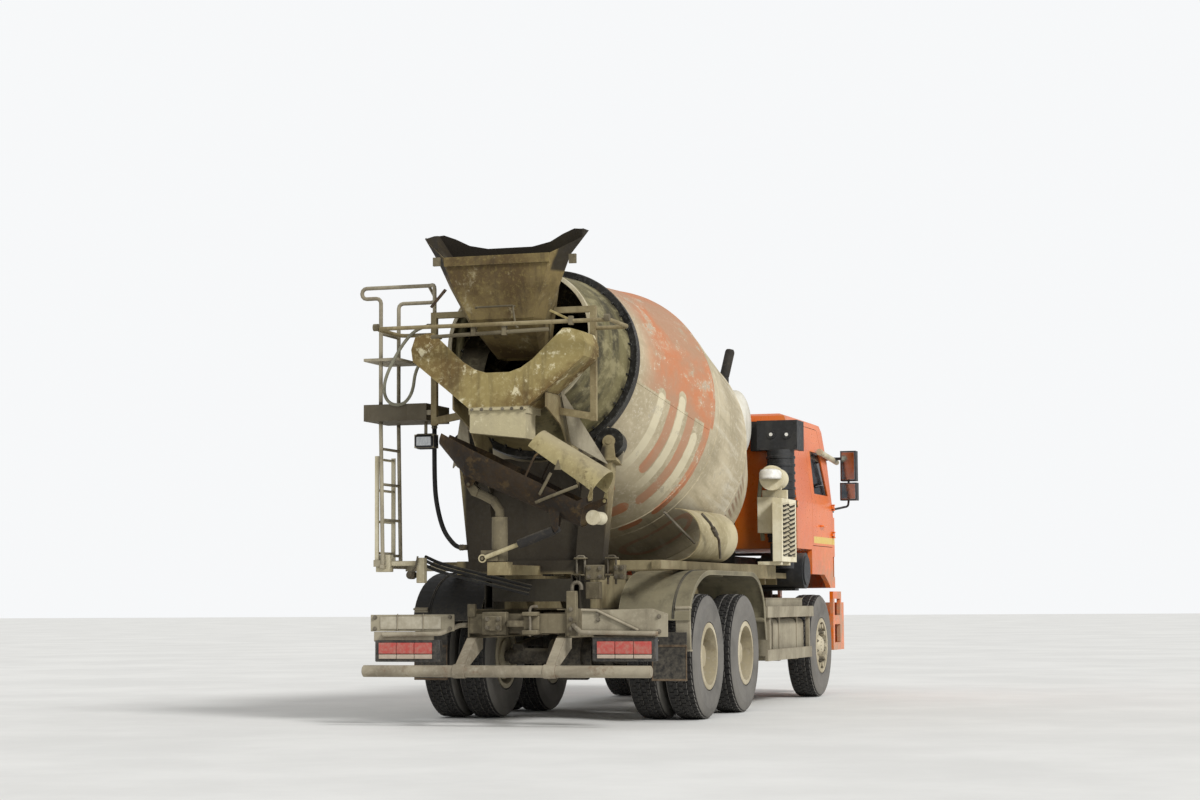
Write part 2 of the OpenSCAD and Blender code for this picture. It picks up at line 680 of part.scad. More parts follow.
// Rear x and half width, the same at the widest place and at the front, and the
// height of the hopper's sections
funnel = [[-1450, 190, -1410, 210, -1230, 200, 3060], [-1905, 275, -1775, 335, -1280, 250, 3340],
          [-1985, 400, -1820, 478, -1420, 330, 3620], [-2015, 462, -1840, 580, -1640, 490, 3850],
          [-1795, 700, -1760, 760, -1715, 640, 4110]];
wing_top = [[195, 3958], [355, 3990], [472, 4048], [573, 4085], [650, 4078], [735, 4045]];
function funnel_ring(f, t, z) = [
    [f[0] + t, -f[1] + t / 2, z], [f[2], -f[3] + t, z], [f[4] - t, -f[5] + t, z],
    [f[4] - t, f[5] - t, z], [f[2], f[3] - t, z], [f[0] + t, f[1] - t / 2, z]];

module hopper() color(concrete_brown) at_axle() difference() {
    union() {
        loft([for (f = funnel) funnel_ring(f, 0, f[6])]);
        both_sides() block(post_x - post_r, post_x + post_r, 280, hopper_lug - fit_gap, 3400, 3450);
        // Turned edge along the rear lip
        block(-2027, -2000, -455, 455, 3775, 3849);
    }
    loft([for (f = funnel) funnel_ring(f, 8, f[6] + (f[6] < 3100 ? -1 : f[6] > 4100 ? 1 : 0))]);
    // Curved top edge with a wing at each side
    cross_plate(concat([[-800, 4200], [-800, 4045]], flip_x(wing_top), wing_top,
                       [[800, 4045], [800, 4200]]), -2100, -1500);
    cross_plate([[-462, 3850], [462, 3850], [735, 4050], [735, 4200], [-735, 4200],
                 [-735, 4050]], -2100, -1800);
}

module collector() color(concrete_brown) at_axle() {
    rear = -2000;
    front = -1640;
    t = 8;
    outer = [[-250, 2550], [-250, 2600], [-740, 3000], [-755, 3100], [-720, 3200],
             [-620, 3230], [-560, 3230], [-300, 2985], [-200, 2920], [-100, 2888]];
    // Rear wall with its dip
    cross_plate(concat(outer, flip_x(outer)), rear, rear + t);
    // Floor and side walls
    both_sides() cross_plate([[250, 2550], [250, 2600], [740, 3000], [755, 3100], [720, 3200],
                              [620, 3230], [618, 3222], [713, 3193], [747, 3100], [733, 3005],
                              [242, 2604], [242, 2550]], rear, front);
    // Spout
    difference() {
        block(rear, -1750, -240, 240, 2340, 2560);
        block(rear + t, -1750 - t, -240 + t, 240 - t, 2300, 2600);
        cross_plate([[-300, 2300], [300, 2300], [300, 2407], [-300, 2338]], -2100, -1700);
    }
    side_plate([[front, 2640], [-1750, 2550], [-1750, 2540], [front - 4, 2630]], -243, 243);
    // Lugs to the uprights
    both_sides() block(front - 10, post_x - post_r - fit_gap, post_y, 750, 3020, 3090);
}

spare_r = 235;
spare_y = -915;
spare_len = 1340;

module spare_chute() color(dust_grey) at_axle()
    translate([70, spare_y, deck_top + fit_gap + spare_r]) rotate([0, 90, 0]) difference() {
        cylinder(h = spare_len, r = spare_r);
        translate([0, 0, -1]) cylinder(h = spare_len + 2, r = spare_r - chute_wall);
        translate([-300, 0, -1]) cube([600, 300, spare_len + 2]);
    }

// Chute. Its own x runs down the flow and its rest pose points to the right.

module at_column() at_axle() translate([column_x, 0, 0]) rotate([0, 0, -90]) children();

tip_u = -470;
tip_z = 2400;
tilt_u = -250;
tilt_z = 1980;
eye_w = -110;
low_u = -110;
low_z = 1374;
high_u = 520;
high_z = 1600;
jack_r = 18;
jack_len = norm([high_u - low_u, high_z - low_z]);
jack_slope = atan2(high_z - low_z, high_u - low_u);
eye_pin = 12;
fold_x = chute_len + 20;
fold_z = 62;
fold_open_r = 196;
fold_end_r = 160;
fold_lift = 8.4;
neck = 330;

module at_slope() at_column() translate([tip_u, 0, tip_z]) rotate([0, chute_slope, 0]) children();
module at_jack() at_column() translate([low_u, eye_w, low_z])
    rotate([0, -jack_slope, 0]) rotate([0, 90, 0]) children();
module along_w(w0, w1, r) translate([0, w0, 0]) rotate([-90, 0, 0]) cylinder(h = w1 - w0, r = r);
module cone_x(x0, x1, r0, r1) translate([x0, 0, 0]) rotate([0, 90, 0])
    cylinder(h = x1 - x0, r1 = r0, r2 = r1);

module chute_turret() color(dust_grey) at_column() {
    difference() {
        union() {
            translate([0, 0, 1350]) cylinder(h = 360, r = 65);
            // Lug of the jack
            block(low_u - 22, 10, eye_w + jack_r + 3, -30, 1353, 1440);
        }
        translate([0, 0, 1349]) cylinder(h = 341, r = column_r + pin_gap);
    }
    translate([low_u, 0, low_z]) along_w(eye_w - 12, eye_w + jack_r + 5, eye_pin);
    tube([[0, 0, 1700], [0, 0, 1765], [-55, 0, 1845], [-150, 0, 1895], [-225, 0, 1925]], 38, 12);
    // Clevis of the tilt hinge
    for (w = [-42, 30])
        side_plate([[-190, 1880], [-170, 1940], [tilt_u + 25, tilt_z + 15], [tilt_u, tilt_z + 28],
                    [tilt_u - 25, tilt_z + 12], [tilt_u - 28, tilt_z - 15], [-230, 1890]],
                   w, w + 12);
    translate([tilt_u, 0, tilt_z]) along_w(-64, 64, hinge_r);
}

module trough(inset) {
    cone_x(inset > 0 ? -1 : 0, neck + (inset > 0 ? 0.01 : 0), 100 - inset, chute_r - inset);
    cone_x(neck, chute_len + (inset > 0 ? 1 : 0), chute_r - inset, outlet_r - inset);
}

module main_chute() color(concrete_brown) {
    difference() {
        union() {
            at_slope() trough(0);
            // Plates of the tilt hinge
            at_column() for (w = [-60, 48])
                side_plate([[tilt_u - 28, tilt_z - 12], [tilt_u, tilt_z - 28],
                            [tilt_u + 28, tilt_z - 12], [tilt_u + 120, 2080],
                            [tilt_u - 90, 2180], [tilt_u - 60, 2120]], w, w + 12);
            // Plates of the jack
            at_column() for (w = [eye_w - 34, eye_w + 26])
                side_plate([[high_u - 22, high_z], [high_u, high_z - 22], [high_u + 22, high_z],
                            [high_u + 40, 1760], [high_u - 60, 1790]], w, w + 8);
        }
        at_slope() {
            trough(chute_wall);
            translate([-10, -400, 0]) cube([chute_len + 20, 800, 600]);
        }
        at_column() translate([tilt_u, 0, tilt_z]) along_w(-80, 80, hinge_r + pin_gap);
    }
    at_column() translate([high_u, 0, high_z]) along_w(eye_w - 36, eye_w + 36, eye_pin);
    at_slope() {
        // Cheeks of the folding hinge
        both_sides() difference() {
            side_plate([[chute_len - 60, -60], [chute_len - 20, -40], [fold_x + 24, fold_z - 10],
                        [fold_x + 14, fold_z + 22], [fold_x - 14, fold_z + 22],
                        [chute_len - 80, -4]], outlet_r - 4, outlet_r + 8);
            translate([fold_x, 0, fold_z]) along_w(0, 300, hinge_r + pin_gap);
        }
        // Hoop that the folded chute lies on
        hoop_x = 850;
        hoop_y = 209;
        hoop_z = fold_z + (fold_x - hoop_x) * tan(fold_lift) + 62 - 10.5;
        tube(bend([[hoop_x, -hoop_y, -20], [hoop_x, -hoop_y, hoop_z], [hoop_x, hoop_y, hoop_z],
                   [hoop_x, hoop_y, -20]], 50), 9, 8);
    }
}

module folding_chute() color(concrete_brown) at_slope()
    translate([fold_x, 0, fold_z]) rotate([0, fold_lift, 0]) {
        // Drawn from the hinge back up along the folded chute
        difference() {
            union() {
                translate([0, 0, 62]) mirror([1, 0, 0]) cone_x(26, fold_len, fold_open_r, fold_end_r);
                both_sides() side_plate([[-80, 60], [-80, 95], [-30, 90], [14, 20], [20, 0],
                                         [0, -20], [-20, 0], [-40, 62]],
                                        fold_open_r + 4, fold_open_r + 14);
            }
            translate([0, 0, 62]) mirror([1, 0, 0])
                cone_x(25, fold_len + 1, fold_open_r - chute_wall, fold_end_r - chute_wall);
            translate([-900, -fold_open_r - 3, -300]) cube([900, 2 * fold_open_r + 6, 362]);
        }
        both_sides() translate([0, 0, 0]) along_w(outlet_r - 8, fold_open_r + 12, hinge_r);
        both_sides() block(-80, -30, fold_open_r - 12, fold_open_r + 5, 62, 90);
    }

module jack_barrel() color(dark_steel) {
    at_jack() difference() {
        union() {
            translate([0, 0, 330]) cylinder(h = jack_len - 355, r = 38);
            translate([0, 22, jack_len]) rotate([90, 0, 0]) cylinder(h = 44, r = 30);
        }
        translate([0, 0, 320]) cylinder(h = jack_len - 390, r = jack_r + fit_gap);
        translate([0, 30, jack_len]) rotate([90, 0, 0]) cylinder(h = 60, r = eye_pin + pin_gap);
    }
}

module jack_rod() color([0.7, 0.7, 0.7]) at_jack() {
    translate([0, 0, 26]) cylinder(h = 440, r = jack_r);
    difference() {
        translate([0, 7, 0]) rotate([90, 0, 0]) cylinder(h = 14, r = 34);
        translate([0, 8, 0]) rotate([90, 0, 0]) cylinder(h = 16, r = eye_pin + 12);
    }
}

// Ladder and platform on the left

rung_gap = 300;
lad_x0 = -1550;
lad_x1 = -1150;
fold_y = 1250;
post_lad_y = 1210;
fold_lad_z = 1360;
lad_pin = 8;

module access_ladder() color(dust_grey) at_axle() {
    for (x = [lad_x0, lad_x1]) rod([x, 1190, 1340], [x, post_lad_y, 2560], 17);
    for (i = [0:3]) {
        z = 1420 + i * rung_gap;
        y = 1190 + (z - 1340) * (post_lad_y - 1190) / 1220;
        translate([lad_x0, y, z]) rotate([0, 90, 0]) cylinder(h = lad_x1 - lad_x0, r = 12);
    }
    // Platform tray
    difference() {
        block(-1620, -1080, 770, 1337, 2550, 2690);
        block(-1612, -1088, 778, 1329, 2560, 2700);
    }
    // Step on the posts
    block(-1600, -1100, 1030, 1347, 3060, 3085);
    // Posts and hand rails, each one bent pipe
    tube(bend([[lad_x0, post_lad_y, 2551], [lad_x0, post_lad_y, 3600], [lad_x0, 1383, 3600],
               [lad_x0, 1383, 3690], [lad_x0, post_y + 60, 3690], [post_x, post_y, 3690],
               [post_x, post_y, 3450 + fit_gap]], 42), pipe_r, 10);
    tube(bend([[lad_x1, post_lad_y, 2551], [lad_x1, post_lad_y, 3600], [lad_x1, 900, 3600],
               [-1300, 800, 3600]], 42), pipe_r, 10);
    rod([lad_x0, post_lad_y, 3300], [lad_x1, post_lad_y, 3300], 14);
    // Brace of the inner rail
    rod([-1290, 806, 3600], [lad_x0, post_y + 75, 3690], 13);
    // Link of the tray to the hopper's post
    block(post_x - post_r, post_x + post_r, post_y + 25 + fit_gap, 771, 2590, 2630);
    // Foot on the mixer frame
    block(lad_x0 - 20, -1015, 1170, 1210, 1310, 1345);
    block(-1075, -1015, 700 + fit_gap, 1175, 1290, 1340);
    // Lugs of the folding part
    for (x = [lad_x0, lad_x1])
        block(x - 6, x + 6, 1185, fold_y + 22, 1325, fold_lad_z + 22);
    for (x = [lad_x0 - 6, lad_x1 - 30])
        translate([x, fold_y, fold_lad_z]) rotate([0, 90, 0]) cylinder(h = 36, r = lad_pin);
    // Work lamp under the tray
    rod([-1400, 860, 2430], [-1400, 860, 2552], 14);
    block(-1450, -1340, 770, 945, 2325, 2440);
}

module folding_ladder() color(paint_beige) at_axle() {
    for (x = [lad_x0 + 12, lad_x1 - 24]) difference() {
        union() {
            block(x, x + 12, fold_y - 18, fold_y + 18, fold_lad_z, 2260);
            translate([x, fold_y, fold_lad_z]) rotate([0, 90, 0]) cylinder(h = 12, r = 18);
        }
        translate([x - 1, fold_y, fold_lad_z]) rotate([0, 90, 0]) cylinder(h = 14, r = lad_pin + pin_gap);
    }
    for (i = [0:3]) translate([lad_x0 + 20, fold_y, 1440 + i * 265]) rotate([0, 90, 0])
        cylinder(h = lad_x1 - lad_x0 - 40, r = 11);
}

// Pieces behind the cab

module oil_cooler() color(dust_grey) at_axle() {
    low = deck_top + 5 + fit_gap;
    difference() {
        block(2950, 3600, -1215, -1120, 1410, 2040);
        block(3000, 3550, -1216, -1195, 1460, 1990);
    }
    for (x = [2980, 3330]) {
        block(x, x + 50, -1200, -beam_in, low, low + 35);
        block(x, x + 50, -1200, -1150, low, 1411);
    }
    // Oil tank with its filter
    block(3150, 3420, -1118, -920, 1700, 2060);
    block(3200, 3260, -1210, -960, 2035, 2130);
    translate([3040, -1093, 2245]) rotate([0, 90, 0]) cylinder(h = 60, r = 125);
    translate([3095, -1093, 2245]) rotate([0, 90, 0]) cylinder(h = 260, r = 105);
    block(3205, 3255, -1150, -1036, 2125, 2180);
}

module air_cleaner() color(black_plastic) at_axle() {
    across(4100, -1200, -750, 1330, 185);
    across(4100, -1215, -1200, 1330, 150);
    translate([3750, -1030, 1350]) cylinder(h = 260, r = 120);
    block(3700, 3950, -1090, -970, 1360, 1480);
    // Bracket to the frame rail
    block(4030, 4200, -1100, -rail_half - fit_gap, 1125, 1148);
    block(4030, 4200, -rail_half - 20, -rail_half - fit_gap, 800, 1148);
}

module exhaust_stack() color(dark_steel) at_axle() {
    y = -410;
    x = 3868;
    difference() {
        union() {
            translate([3812, y, 1310]) cylinder(h = 640, r = 105);
            translate([x, y, 1900]) cylinder(h = 1475, r = 45);
            rod([x, y, 3362], [x, y - 68, 3640], 50);
        }
        rod([x, y - 7, 3390], [x, y - 78, 3680], 44);
        side_plate([[3700, 3640], [x - 40, 3640], [x + 40, 3560], [3990, 3560], [3990, 3800],
                    [3700, 3800]], -600, -300);
    }
    block(3720, 3848, -sub_out, -sub_in, sub_top + fit_gap, 1311);
}

module water_tank() color([0.85, 0.85, 0.82]) at_axle() {
    translate([tank_x, 0, tank_z]) rotate([-90, 0, 0]) rotate_extrude($fn = 72)
        polygon(concat([[0, -770]], oval(0, -640, tank_r, 130, -80, 0, 8),
                       oval(0, 640, tank_r, 130, 0, 80, 8), [[0, 770]]));
    translate([tank_x, 200, tank_z + tank_r - 8]) cylinder(h = 40, r = 70);
}

// Cab

cab_front_z = 1160;
arch_z = 1300;
belt_z = 2050;
cowl_z = 1930;
screen_low_x = 6190;
screen_top_x = 5800;
cab_edge = [[cab_rear_x, floor_z], [4640, floor_z], [4640, arch_z], [5255, arch_z],
            [5477, 1210], [5560, cab_front_z], [6300, cab_front_z], [6300, 2000],
            [5830, 2870], [5700, roof_z - 25], [5540, roof_z], [cab_rear_x + 80, roof_z],
            [cab_rear_x + 20, roof_z - 25], [cab_rear_x, roof_z - 75]];
hinge_x = door_front_x + 35;
hinge_y = cab_half + 12;
cut_out = cab_half + 50;
cut_in = cab_half - 250;
screen_half = cab_half - 190;
mirror_in = cab_half + 65;
mirror_mid = mirror_in + 85;
function screen_edge(g) = [[-screen_half + g, 2010 + g], [screen_half - g, 2010 + g],
                           [screen_half - 60 - g, 2790 - g], [60 - screen_half + g, 2790 - g]];
hinge_zs = [1740, 2040];
hinge_pin = 8;
flap_x = cab_front_x + 20;
flap_z = 1880;
flap_half = 620;

function half_plan(d, f) = let (h = cab_half - d)
    [[cab_rear_x + d, h], [f - 440, h], [f - 230 - 0.35 * d, h - 60],
     [f - 95 - 0.7 * d, h - 185 + 0.25 * d], [f - 20 - 0.9 * d, h - 330 + 0.5 * d],
     [f - d, h - 390 + d]];
function plan(d, f) = concat(half_plan(d, f), flip_y(half_plan(d, f)));
function plan_ring(d, f, z) = [for (p = plan(d, f)) [p[0], p[1], z]];

module cab_form(d) {
    h = cab_half - d;
    top = roof_z - d;
    right = [[-h, 1000], [-h, belt_z], [-h + 75, 2650], [-h + 100, 2870 - d / 2],
             [-h + 130, top - 25], [-h + 190, top]];
    intersection() {
        cross_plate(concat(flip_x(right), right), 3800, 6400);
        union() {
            flat_plate(plan(d, cab_front_x), 900, cowl_z - d);
            loft([plan_ring(d, screen_top_x, roof_z), plan_ring(d, screen_low_x, cowl_z - d)]);
        }
    }
}

// A cut of the outer shape to its side view, as wide as the cab
module cab_outer() intersection() {
    cab_form(0);
    side_plate(cab_edge, -cut_out, cut_out);
}
module door_cut(g, y0, y1) side_plate([
    [door_rear_x + g, 1600 + g], [door_front_x - g, 1600 + g], [door_front_x - g, 2150],
    [door_front_x - 300 - g, 2880 - g], [door_rear_x + 40, 2880 - g],
    [door_rear_x + g, 2840]], y0, y1);
module window_cut(g, y0, y1) side_plate([
    [4850 + g, 2160 + g], [5550 - g, 2160 + g], [5370 - g, 2620 - g], [4900 + g, 2620 - g]],
    y0, y1);

module cab_shell() color(paint_orange) at_axle() {
    difference() {
        cab_outer();
        intersection() {
            cab_form(cab_wall);
            block(3900, 6400, -cut_out, cut_out, floor_z + cab_wall, 3000);
        }
        flat_plate(plan(cab_wall, cab_front_x), 1000, floor_z);
        both_sides() {
            door_cut(0, cut_in, cut_out);
            block(5710, 5910, cab_half - 150, cut_out, 1280, 1500);
        }
        cross_plate(screen_edge(0), 5600, 6400);
        block(cab_front_x - 100, cab_front_x + 20, -550, 550, 1250, 1800);
    }
    both_sides() {
        // Front pivot lugs below the floor
        difference() {
            side_plate(concat([[6180, floor_z + 1], [5950, floor_z + 1], [lug_x - 45, lug_z]],
                              arc(lug_x, lug_z, 45, 180, 360, 12)),
                       cab_lug_in, cab_lug_in + cab_lug_t);
            across(lug_x, cab_lug_in - 5, cab_lug_in + cab_lug_t + 5, lug_z, pivot_r + pin_gap);
        }
        // Door hinges
        for (z = hinge_zs) {
            block(hinge_x - 25, hinge_x + 25, cab_half - 25, hinge_y + 12, z - 35, z - 20);
            block(hinge_x - 25, hinge_x + 25, cab_half - 25, hinge_y + 12, z + 20, z + 35);
            translate([hinge_x, hinge_y, z - 30]) cylinder(h = 60, r = hinge_pin);
        }
        // Ears of the front flap
        block(cab_front_x - 5, flap_x + 15, flap_half + 10, flap_half + 30, flap_z - 20, flap_z + 20);
        across(flap_x, flap_half - 40, flap_half + 15, flap_z, hinge_pin);
    }
}

module cab_glass() color(glass_tint) at_axle() intersection() {
    difference() {
        cab_form(20);
        cab_form(20 + glass_t);
    }
    cross_plate(screen_edge(fit_gap), 5650, 6400);
}

module door(side) color(paint_orange) at_axle() mirror([0, side > 0 ? 0 : 1, 0]) {
    difference() {
        intersection() {
            difference() {
                cab_outer();
                cab_form(cab_wall);
            }
            door_cut(panel_gap, cut_in, cut_out);
        }
        window_cut(0, cut_in, cut_out);
    }
    // Divider of the side window
    intersection() {
        difference() {
            cab_form(20);
            cab_form(cab_wall);
        }
        block(5215, 5235, cut_in, cut_out, 2159, 2621);
    }
    for (z = hinge_zs) difference() {
        union() {
            block(hinge_x - 80, hinge_x, hinge_y - 9, hinge_y + 9, z - 15, z + 15);
            block(hinge_x - 80, door_front_x - panel_gap - 1, cab_half - 8, hinge_y, z - 15, z + 15);
            translate([hinge_x, hinge_y, z - 15]) cylinder(h = 30, r = 11);
        }
        translate([hinge_x, hinge_y, z - 16]) cylinder(h = 32, r = hinge_pin + pin_gap);
    }
    // Handle
    tube(bend([[5050, cab_half - 5, 1820], [5050, cab_half + 35, 1820],
               [5220, cab_half + 35, 1820], [5220, cab_half - 5, 1820]], 15), 9, 8);
}

module door_glass(side) color(glass_tint) at_axle() mirror([0, side > 0 ? 0 : 1, 0])
    intersection() {
        difference() {
            cab_form(12);
            cab_form(12 + glass_t);
        }
        window_cut(fit_gap, cut_in, cut_out);
    }

module cab_interior() color([0.2, 0.2, 0.22]) at_axle() {
    low = floor_z + cab_wall + fit_gap;
    // Seats
    both_sides() {
        block(4900, 5250, 380, 820, low, 1850);
        block(4760, 5300, 350, 850, 1849, 1980);
        side_plate([[4760, 1979], [4880, 1979], [4800, 2560], [4690, 2560]], 360, 840);
    }
    // Dashboard
    side_plate([[5700, low], [5960, low], [5960, 2080], [5860, 2130], [5640, 2060],
                [5640, 1950], [5700, 1900]], 270 - cab_half, cab_half - 270);
    // Steering wheel
    rod([5640, 580, 2010], [5560, 580, 2120], 30);
    translate([5560, 580, 2120]) rotate([0, -36, 0]) cylinder(h = 25, r = 210);
    // Bunk across the rear wall
    block(4000, 4560, 150 - cab_half, cab_half - 150, low, 1950);
}

module cab_mirrors() color(black_plastic) at_axle() both_sides() {
    block(5830, 5960, mirror_in + 7, mirror_in + 179, 2338, 2672);
    block(5830, 5960, mirror_in, mirror_in + 185, 2124, 2320);
    tube([[5895, mirror_mid, 2300], [5895, mirror_mid, 2360]], 12, 8);
    // Arms, trimmed where they meet the cab's side
    difference() {
        union() {
            tube(bend([[5840, cut_in, 2560], [5870, cab_half - 50, 2590],
                       [5895, cab_half + 30, 2590], [5895, mirror_mid, 2590]], 20), 16, 8);
            tube(bend([[5800, cab_half - 100, 2020], [5840, cab_half + 10, 2030],
                       [5895, mirror_mid - 10, 2060], [5895, mirror_mid, 2140]], 30), 12, 8);
            block(5770, 5850, cab_half - 150, cab_half - 12, 1990, 2050);
        }
        cab_form(-fit_gap);
    }
}

module air_intake() color(black_plastic) at_axle() {
    block(3700, 3890, -1212, -790, 2566, 2870);
    block(3790, 3890, -791, -700, 2566, 2870);
    block(3889, 4020, -1212, -1165, 2566, 2870);
    block(3889, cab_rear_x - fit_gap, -1000, -800, 2650, 2800);
    translate([3785, -1020, 1620]) cylinder(h = 947, r = 140);
}

module grille_panel() color(paint_orange) at_axle() {
    difference() {
        block(cab_front_x + 5, cab_front_x + 40, -flap_half, flap_half, 1220, flap_z - 20);
        for (z = [1300:90:1660]) block(cab_front_x, cab_front_x + 60, -500, 500, z, z + 50);
    }
    both_sides() difference() {
        union() {
            block(cab_front_x + 5, flap_x + 12, flap_half - 30, flap_half, flap_z - 21, flap_z);
            across(flap_x, flap_half - 30, flap_half, flap_z, 13);
        }
        across(flap_x, flap_half - 41, flap_half + 1, flap_z, hinge_pin + pin_gap);
    }
}

// Wheels

half_w = tyre_w / 2;
front_y = front_face_y - half_w;
twin_out_y = rear_face_y - half_w;
twin_in_y = twin_out_y - twin_pitch;
front_spindle_end = 1140;

module turned(x, side) at_axle() translate([x, 0, wheel_z])
    rotate([0, 0, side > 0 ? 0 : 180]) rotate([-90, 0, 0]) rotate_extrude($fn = 96) children();

module tyre_section(y) translate([0, y]) polygon(
    let (h = half_w, r = rim_r + fit_gap)
    [[r, -h + 25], [r, h - 25], [rim_r + 30, h - 25], [rim_r + 38, h - 8], [400, h],
     [480, h - 2], [525, h - 18], [tyre_r, h - 45], [tyre_r, -h + 45], [525, -h + 18],
     [480, -h + 2], [400, -h], [rim_r + 38, -h + 8], [rim_r + 30, -h + 25]]);

module rim_section(y) translate([0, y]) {
    h = half_w - 6;
    polygon([[rim_r - 14, -h], [rim_r + 24, -h], [rim_r + 24, -half_w + 25 - fit_gap],
             [rim_r, -half_w + 25 - fit_gap], [rim_r, half_w - 25 + fit_gap],
             [rim_r + 24, half_w - 25 + fit_gap], [rim_r + 24, h], [rim_r - 14, h]]);
}

module front_tyre(side) color(rubber) turned(front_axle_x, side) tyre_section(front_y);
module twin_tyres(x, side) color(rubber) turned(x, side) {
    tyre_section(twin_out_y);
    tyre_section(twin_in_y);
}

module front_rim(side) color(dust_grey) turned(front_axle_x, side) {
    bore = spindle_r + pin_gap;
    rim_section(front_y);
    polygon([[249, 1085], [249, 1100], [205, 1124], [125, 1134], [100, 1134], [100, 1122],
             [125, 1120], [205, 1110]]);
    polygon([[bore, 938], [110, 938], [110, 1130], [85, 1165], [60, 1177], [0, 1177],
             [0, 1150], [bore, 1150]]);
    polygon([[105, 938], [205, 938], [205, 1000], [190, 1000], [190, 952], [105, 952]]);
}

module rear_rim(x, side) color(dust_grey) turned(x, side) {
    bore = spindle_r + pin_gap;
    rim_section(twin_out_y);
    rim_section(twin_in_y);
    polygon([[249, 966], [249, 984], [215, 958], [150, 952], [120, 952], [120, 938],
             [150, 938], [220, 942]]);
    polygon([[249, 909], [249, 891], [215, 917], [150, 923], [120, 923], [120, 937.5],
             [150, 937.5], [220, 933]]);
    polygon([[bore, 640], [150, 640], [150, 1000], [115, 1015], [115, 1150], [95, 1180],
             [0, 1180], [0, 1150], [bore, 1150]]);
    polygon([[140, 660], [205, 660], [205, 880], [190, 880], [190, 680], [140, 680]]);
}

module knuckle(side) color(dark_steel) at_axle()
    mirror([0, side > 0 ? 0 : 1, 0]) translate([front_axle_x, 0, wheel_z]) {
        for (z = [-105, 65]) {
            translate([0, kingpin_y, z]) cylinder(h = 40, r = 50);
            block(-40, 40, kingpin_y, 920, z, z + 40);
        }
        block(-60, 60, kingpin_y + 56, 930, -105, 105);
        translate([0, kingpin_y, -105]) cylinder(h = 210, r = kingpin_r);
        across(0, 929, front_spindle_end, 0, spindle_r);
        flat_plate([[-30, kingpin_y - 30], [30, kingpin_y - 30], [30, kingpin_y + 30],
                    [-30, kingpin_y + 30], [-220, kingpin_y - 30], [-220, kingpin_y - 70]],
                   -105, -75);
    }

// Hoses

bundle_route = [[-1200, 860, 2550 - fit_gap], [-1200, 860, 2100], [-1190, 850, 1880],
                [-1160, 800, 1640], [-1110, 725, 1520], [-1060, 690, 1490],
                [-1060, 640, 1490]];
loop_start = post_y + 25 + fit_gap;
loop_route = [[post_x, loop_start, 3340], [post_x, 790, 3340], [-1680, 880, 3280],
              [-1680, 1000, 3130], [-1645, 1130, 2920], [-1645, 1145, 2780], [-1645, 1100, 2700],
              [-1645, 1025, 2675], [-1645, 945, 2695], [-1645, 880, 2790],
              [-1645, 860, 2960], [post_x, 800, 3070], [post_x, loop_start, 3070]];
hose_r = 20;

module hose_bundle() color(rubber) at_axle() tube(bend(bundle_route, 80, 2), hose_r, 8);
module hose_loop() color(olive) at_axle() tube(bend(loop_route, 60, 2), 14, 8);

chassis_frame();
front_bumper();
front_axle();
rear_bogie();
engine();
fuel_tank();
battery_box();
side_guards();
rear_fenders();
underrun_bar();
tail_lamps();
mixer_subframe();
rear_pedestal();
front_pedestal();
drum_gearbox();
hopper();
collector();
spare_chute();
access_ladder();
hose_bundle();
hose_loop();
oil_cooler();
air_cleaner();
exhaust_stack();
water_tank();
drum();
drum_blades();
roller(1);  // roller_left
roller(-1);  // roller_right
chute_turret();
main_chute();
folding_chute();
jack_barrel();
jack_rod();
folding_ladder();
cab_shell();
cab_glass();
cab_interior();
cab_mirrors();
air_intake();
grille_panel();
door(1);  // door_left
door(-1);  // door_right
door_glass(1);  // door_glass_left
door_glass(-1);  // door_glass_right
knuckle(1);  // knuckle_left
knuckle(-1);  // knuckle_right
front_rim(1);  // rim_front_left
front_rim(-1);  // rim_front_right
rear_rim(bogie_pitch, 1);  // rim_middle_left
rear_rim(bogie_pitch, -1);  // rim_middle_right
rear_rim(0, 1);  // rim_rear_left
rear_rim(0, -1);  // rim_rear_right
front_tyre(1);  // tyre_front_left
front_tyre(-1);  // tyre_front_right
twin_tyres(bogie_pitch, 1);  // tyres_middle_left
twin_tyres(bogie_pitch, -1);  // tyres_middle_right
twin_tyres(0, 1);  // tyres_rear_left
twin_tyres(0, -1);  // tyres_rear_right
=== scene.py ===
import math

import bmesh
import bpy
from mathutils import Matrix, Vector


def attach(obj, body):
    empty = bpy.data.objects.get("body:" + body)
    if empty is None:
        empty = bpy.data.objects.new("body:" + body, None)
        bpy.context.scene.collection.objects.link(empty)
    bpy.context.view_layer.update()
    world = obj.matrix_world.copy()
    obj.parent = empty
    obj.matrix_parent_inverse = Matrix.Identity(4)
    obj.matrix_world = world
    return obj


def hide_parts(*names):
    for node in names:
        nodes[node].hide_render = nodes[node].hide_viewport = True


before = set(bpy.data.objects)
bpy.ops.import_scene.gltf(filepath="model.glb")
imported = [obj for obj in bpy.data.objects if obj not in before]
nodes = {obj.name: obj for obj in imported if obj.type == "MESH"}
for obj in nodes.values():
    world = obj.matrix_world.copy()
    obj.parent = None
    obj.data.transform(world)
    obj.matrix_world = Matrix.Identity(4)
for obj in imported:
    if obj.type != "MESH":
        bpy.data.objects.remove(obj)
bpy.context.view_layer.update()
print("frame loaded:", len(nodes), "solids")

axleX = -2.085  # the rearmost axle, which x is measured from below
wheelZ = 0.5425


def at(x, y, z):
    return Vector((x + axleX, y, z))


# Camera

cameraView = {"place": (-22.4466, -6.5922, 1.0165), "yaw": 0.30187, "pitch": 0.083967,
              "roll": -0.0058407, "focalPx": 2402.5, "widthPx": 1200}


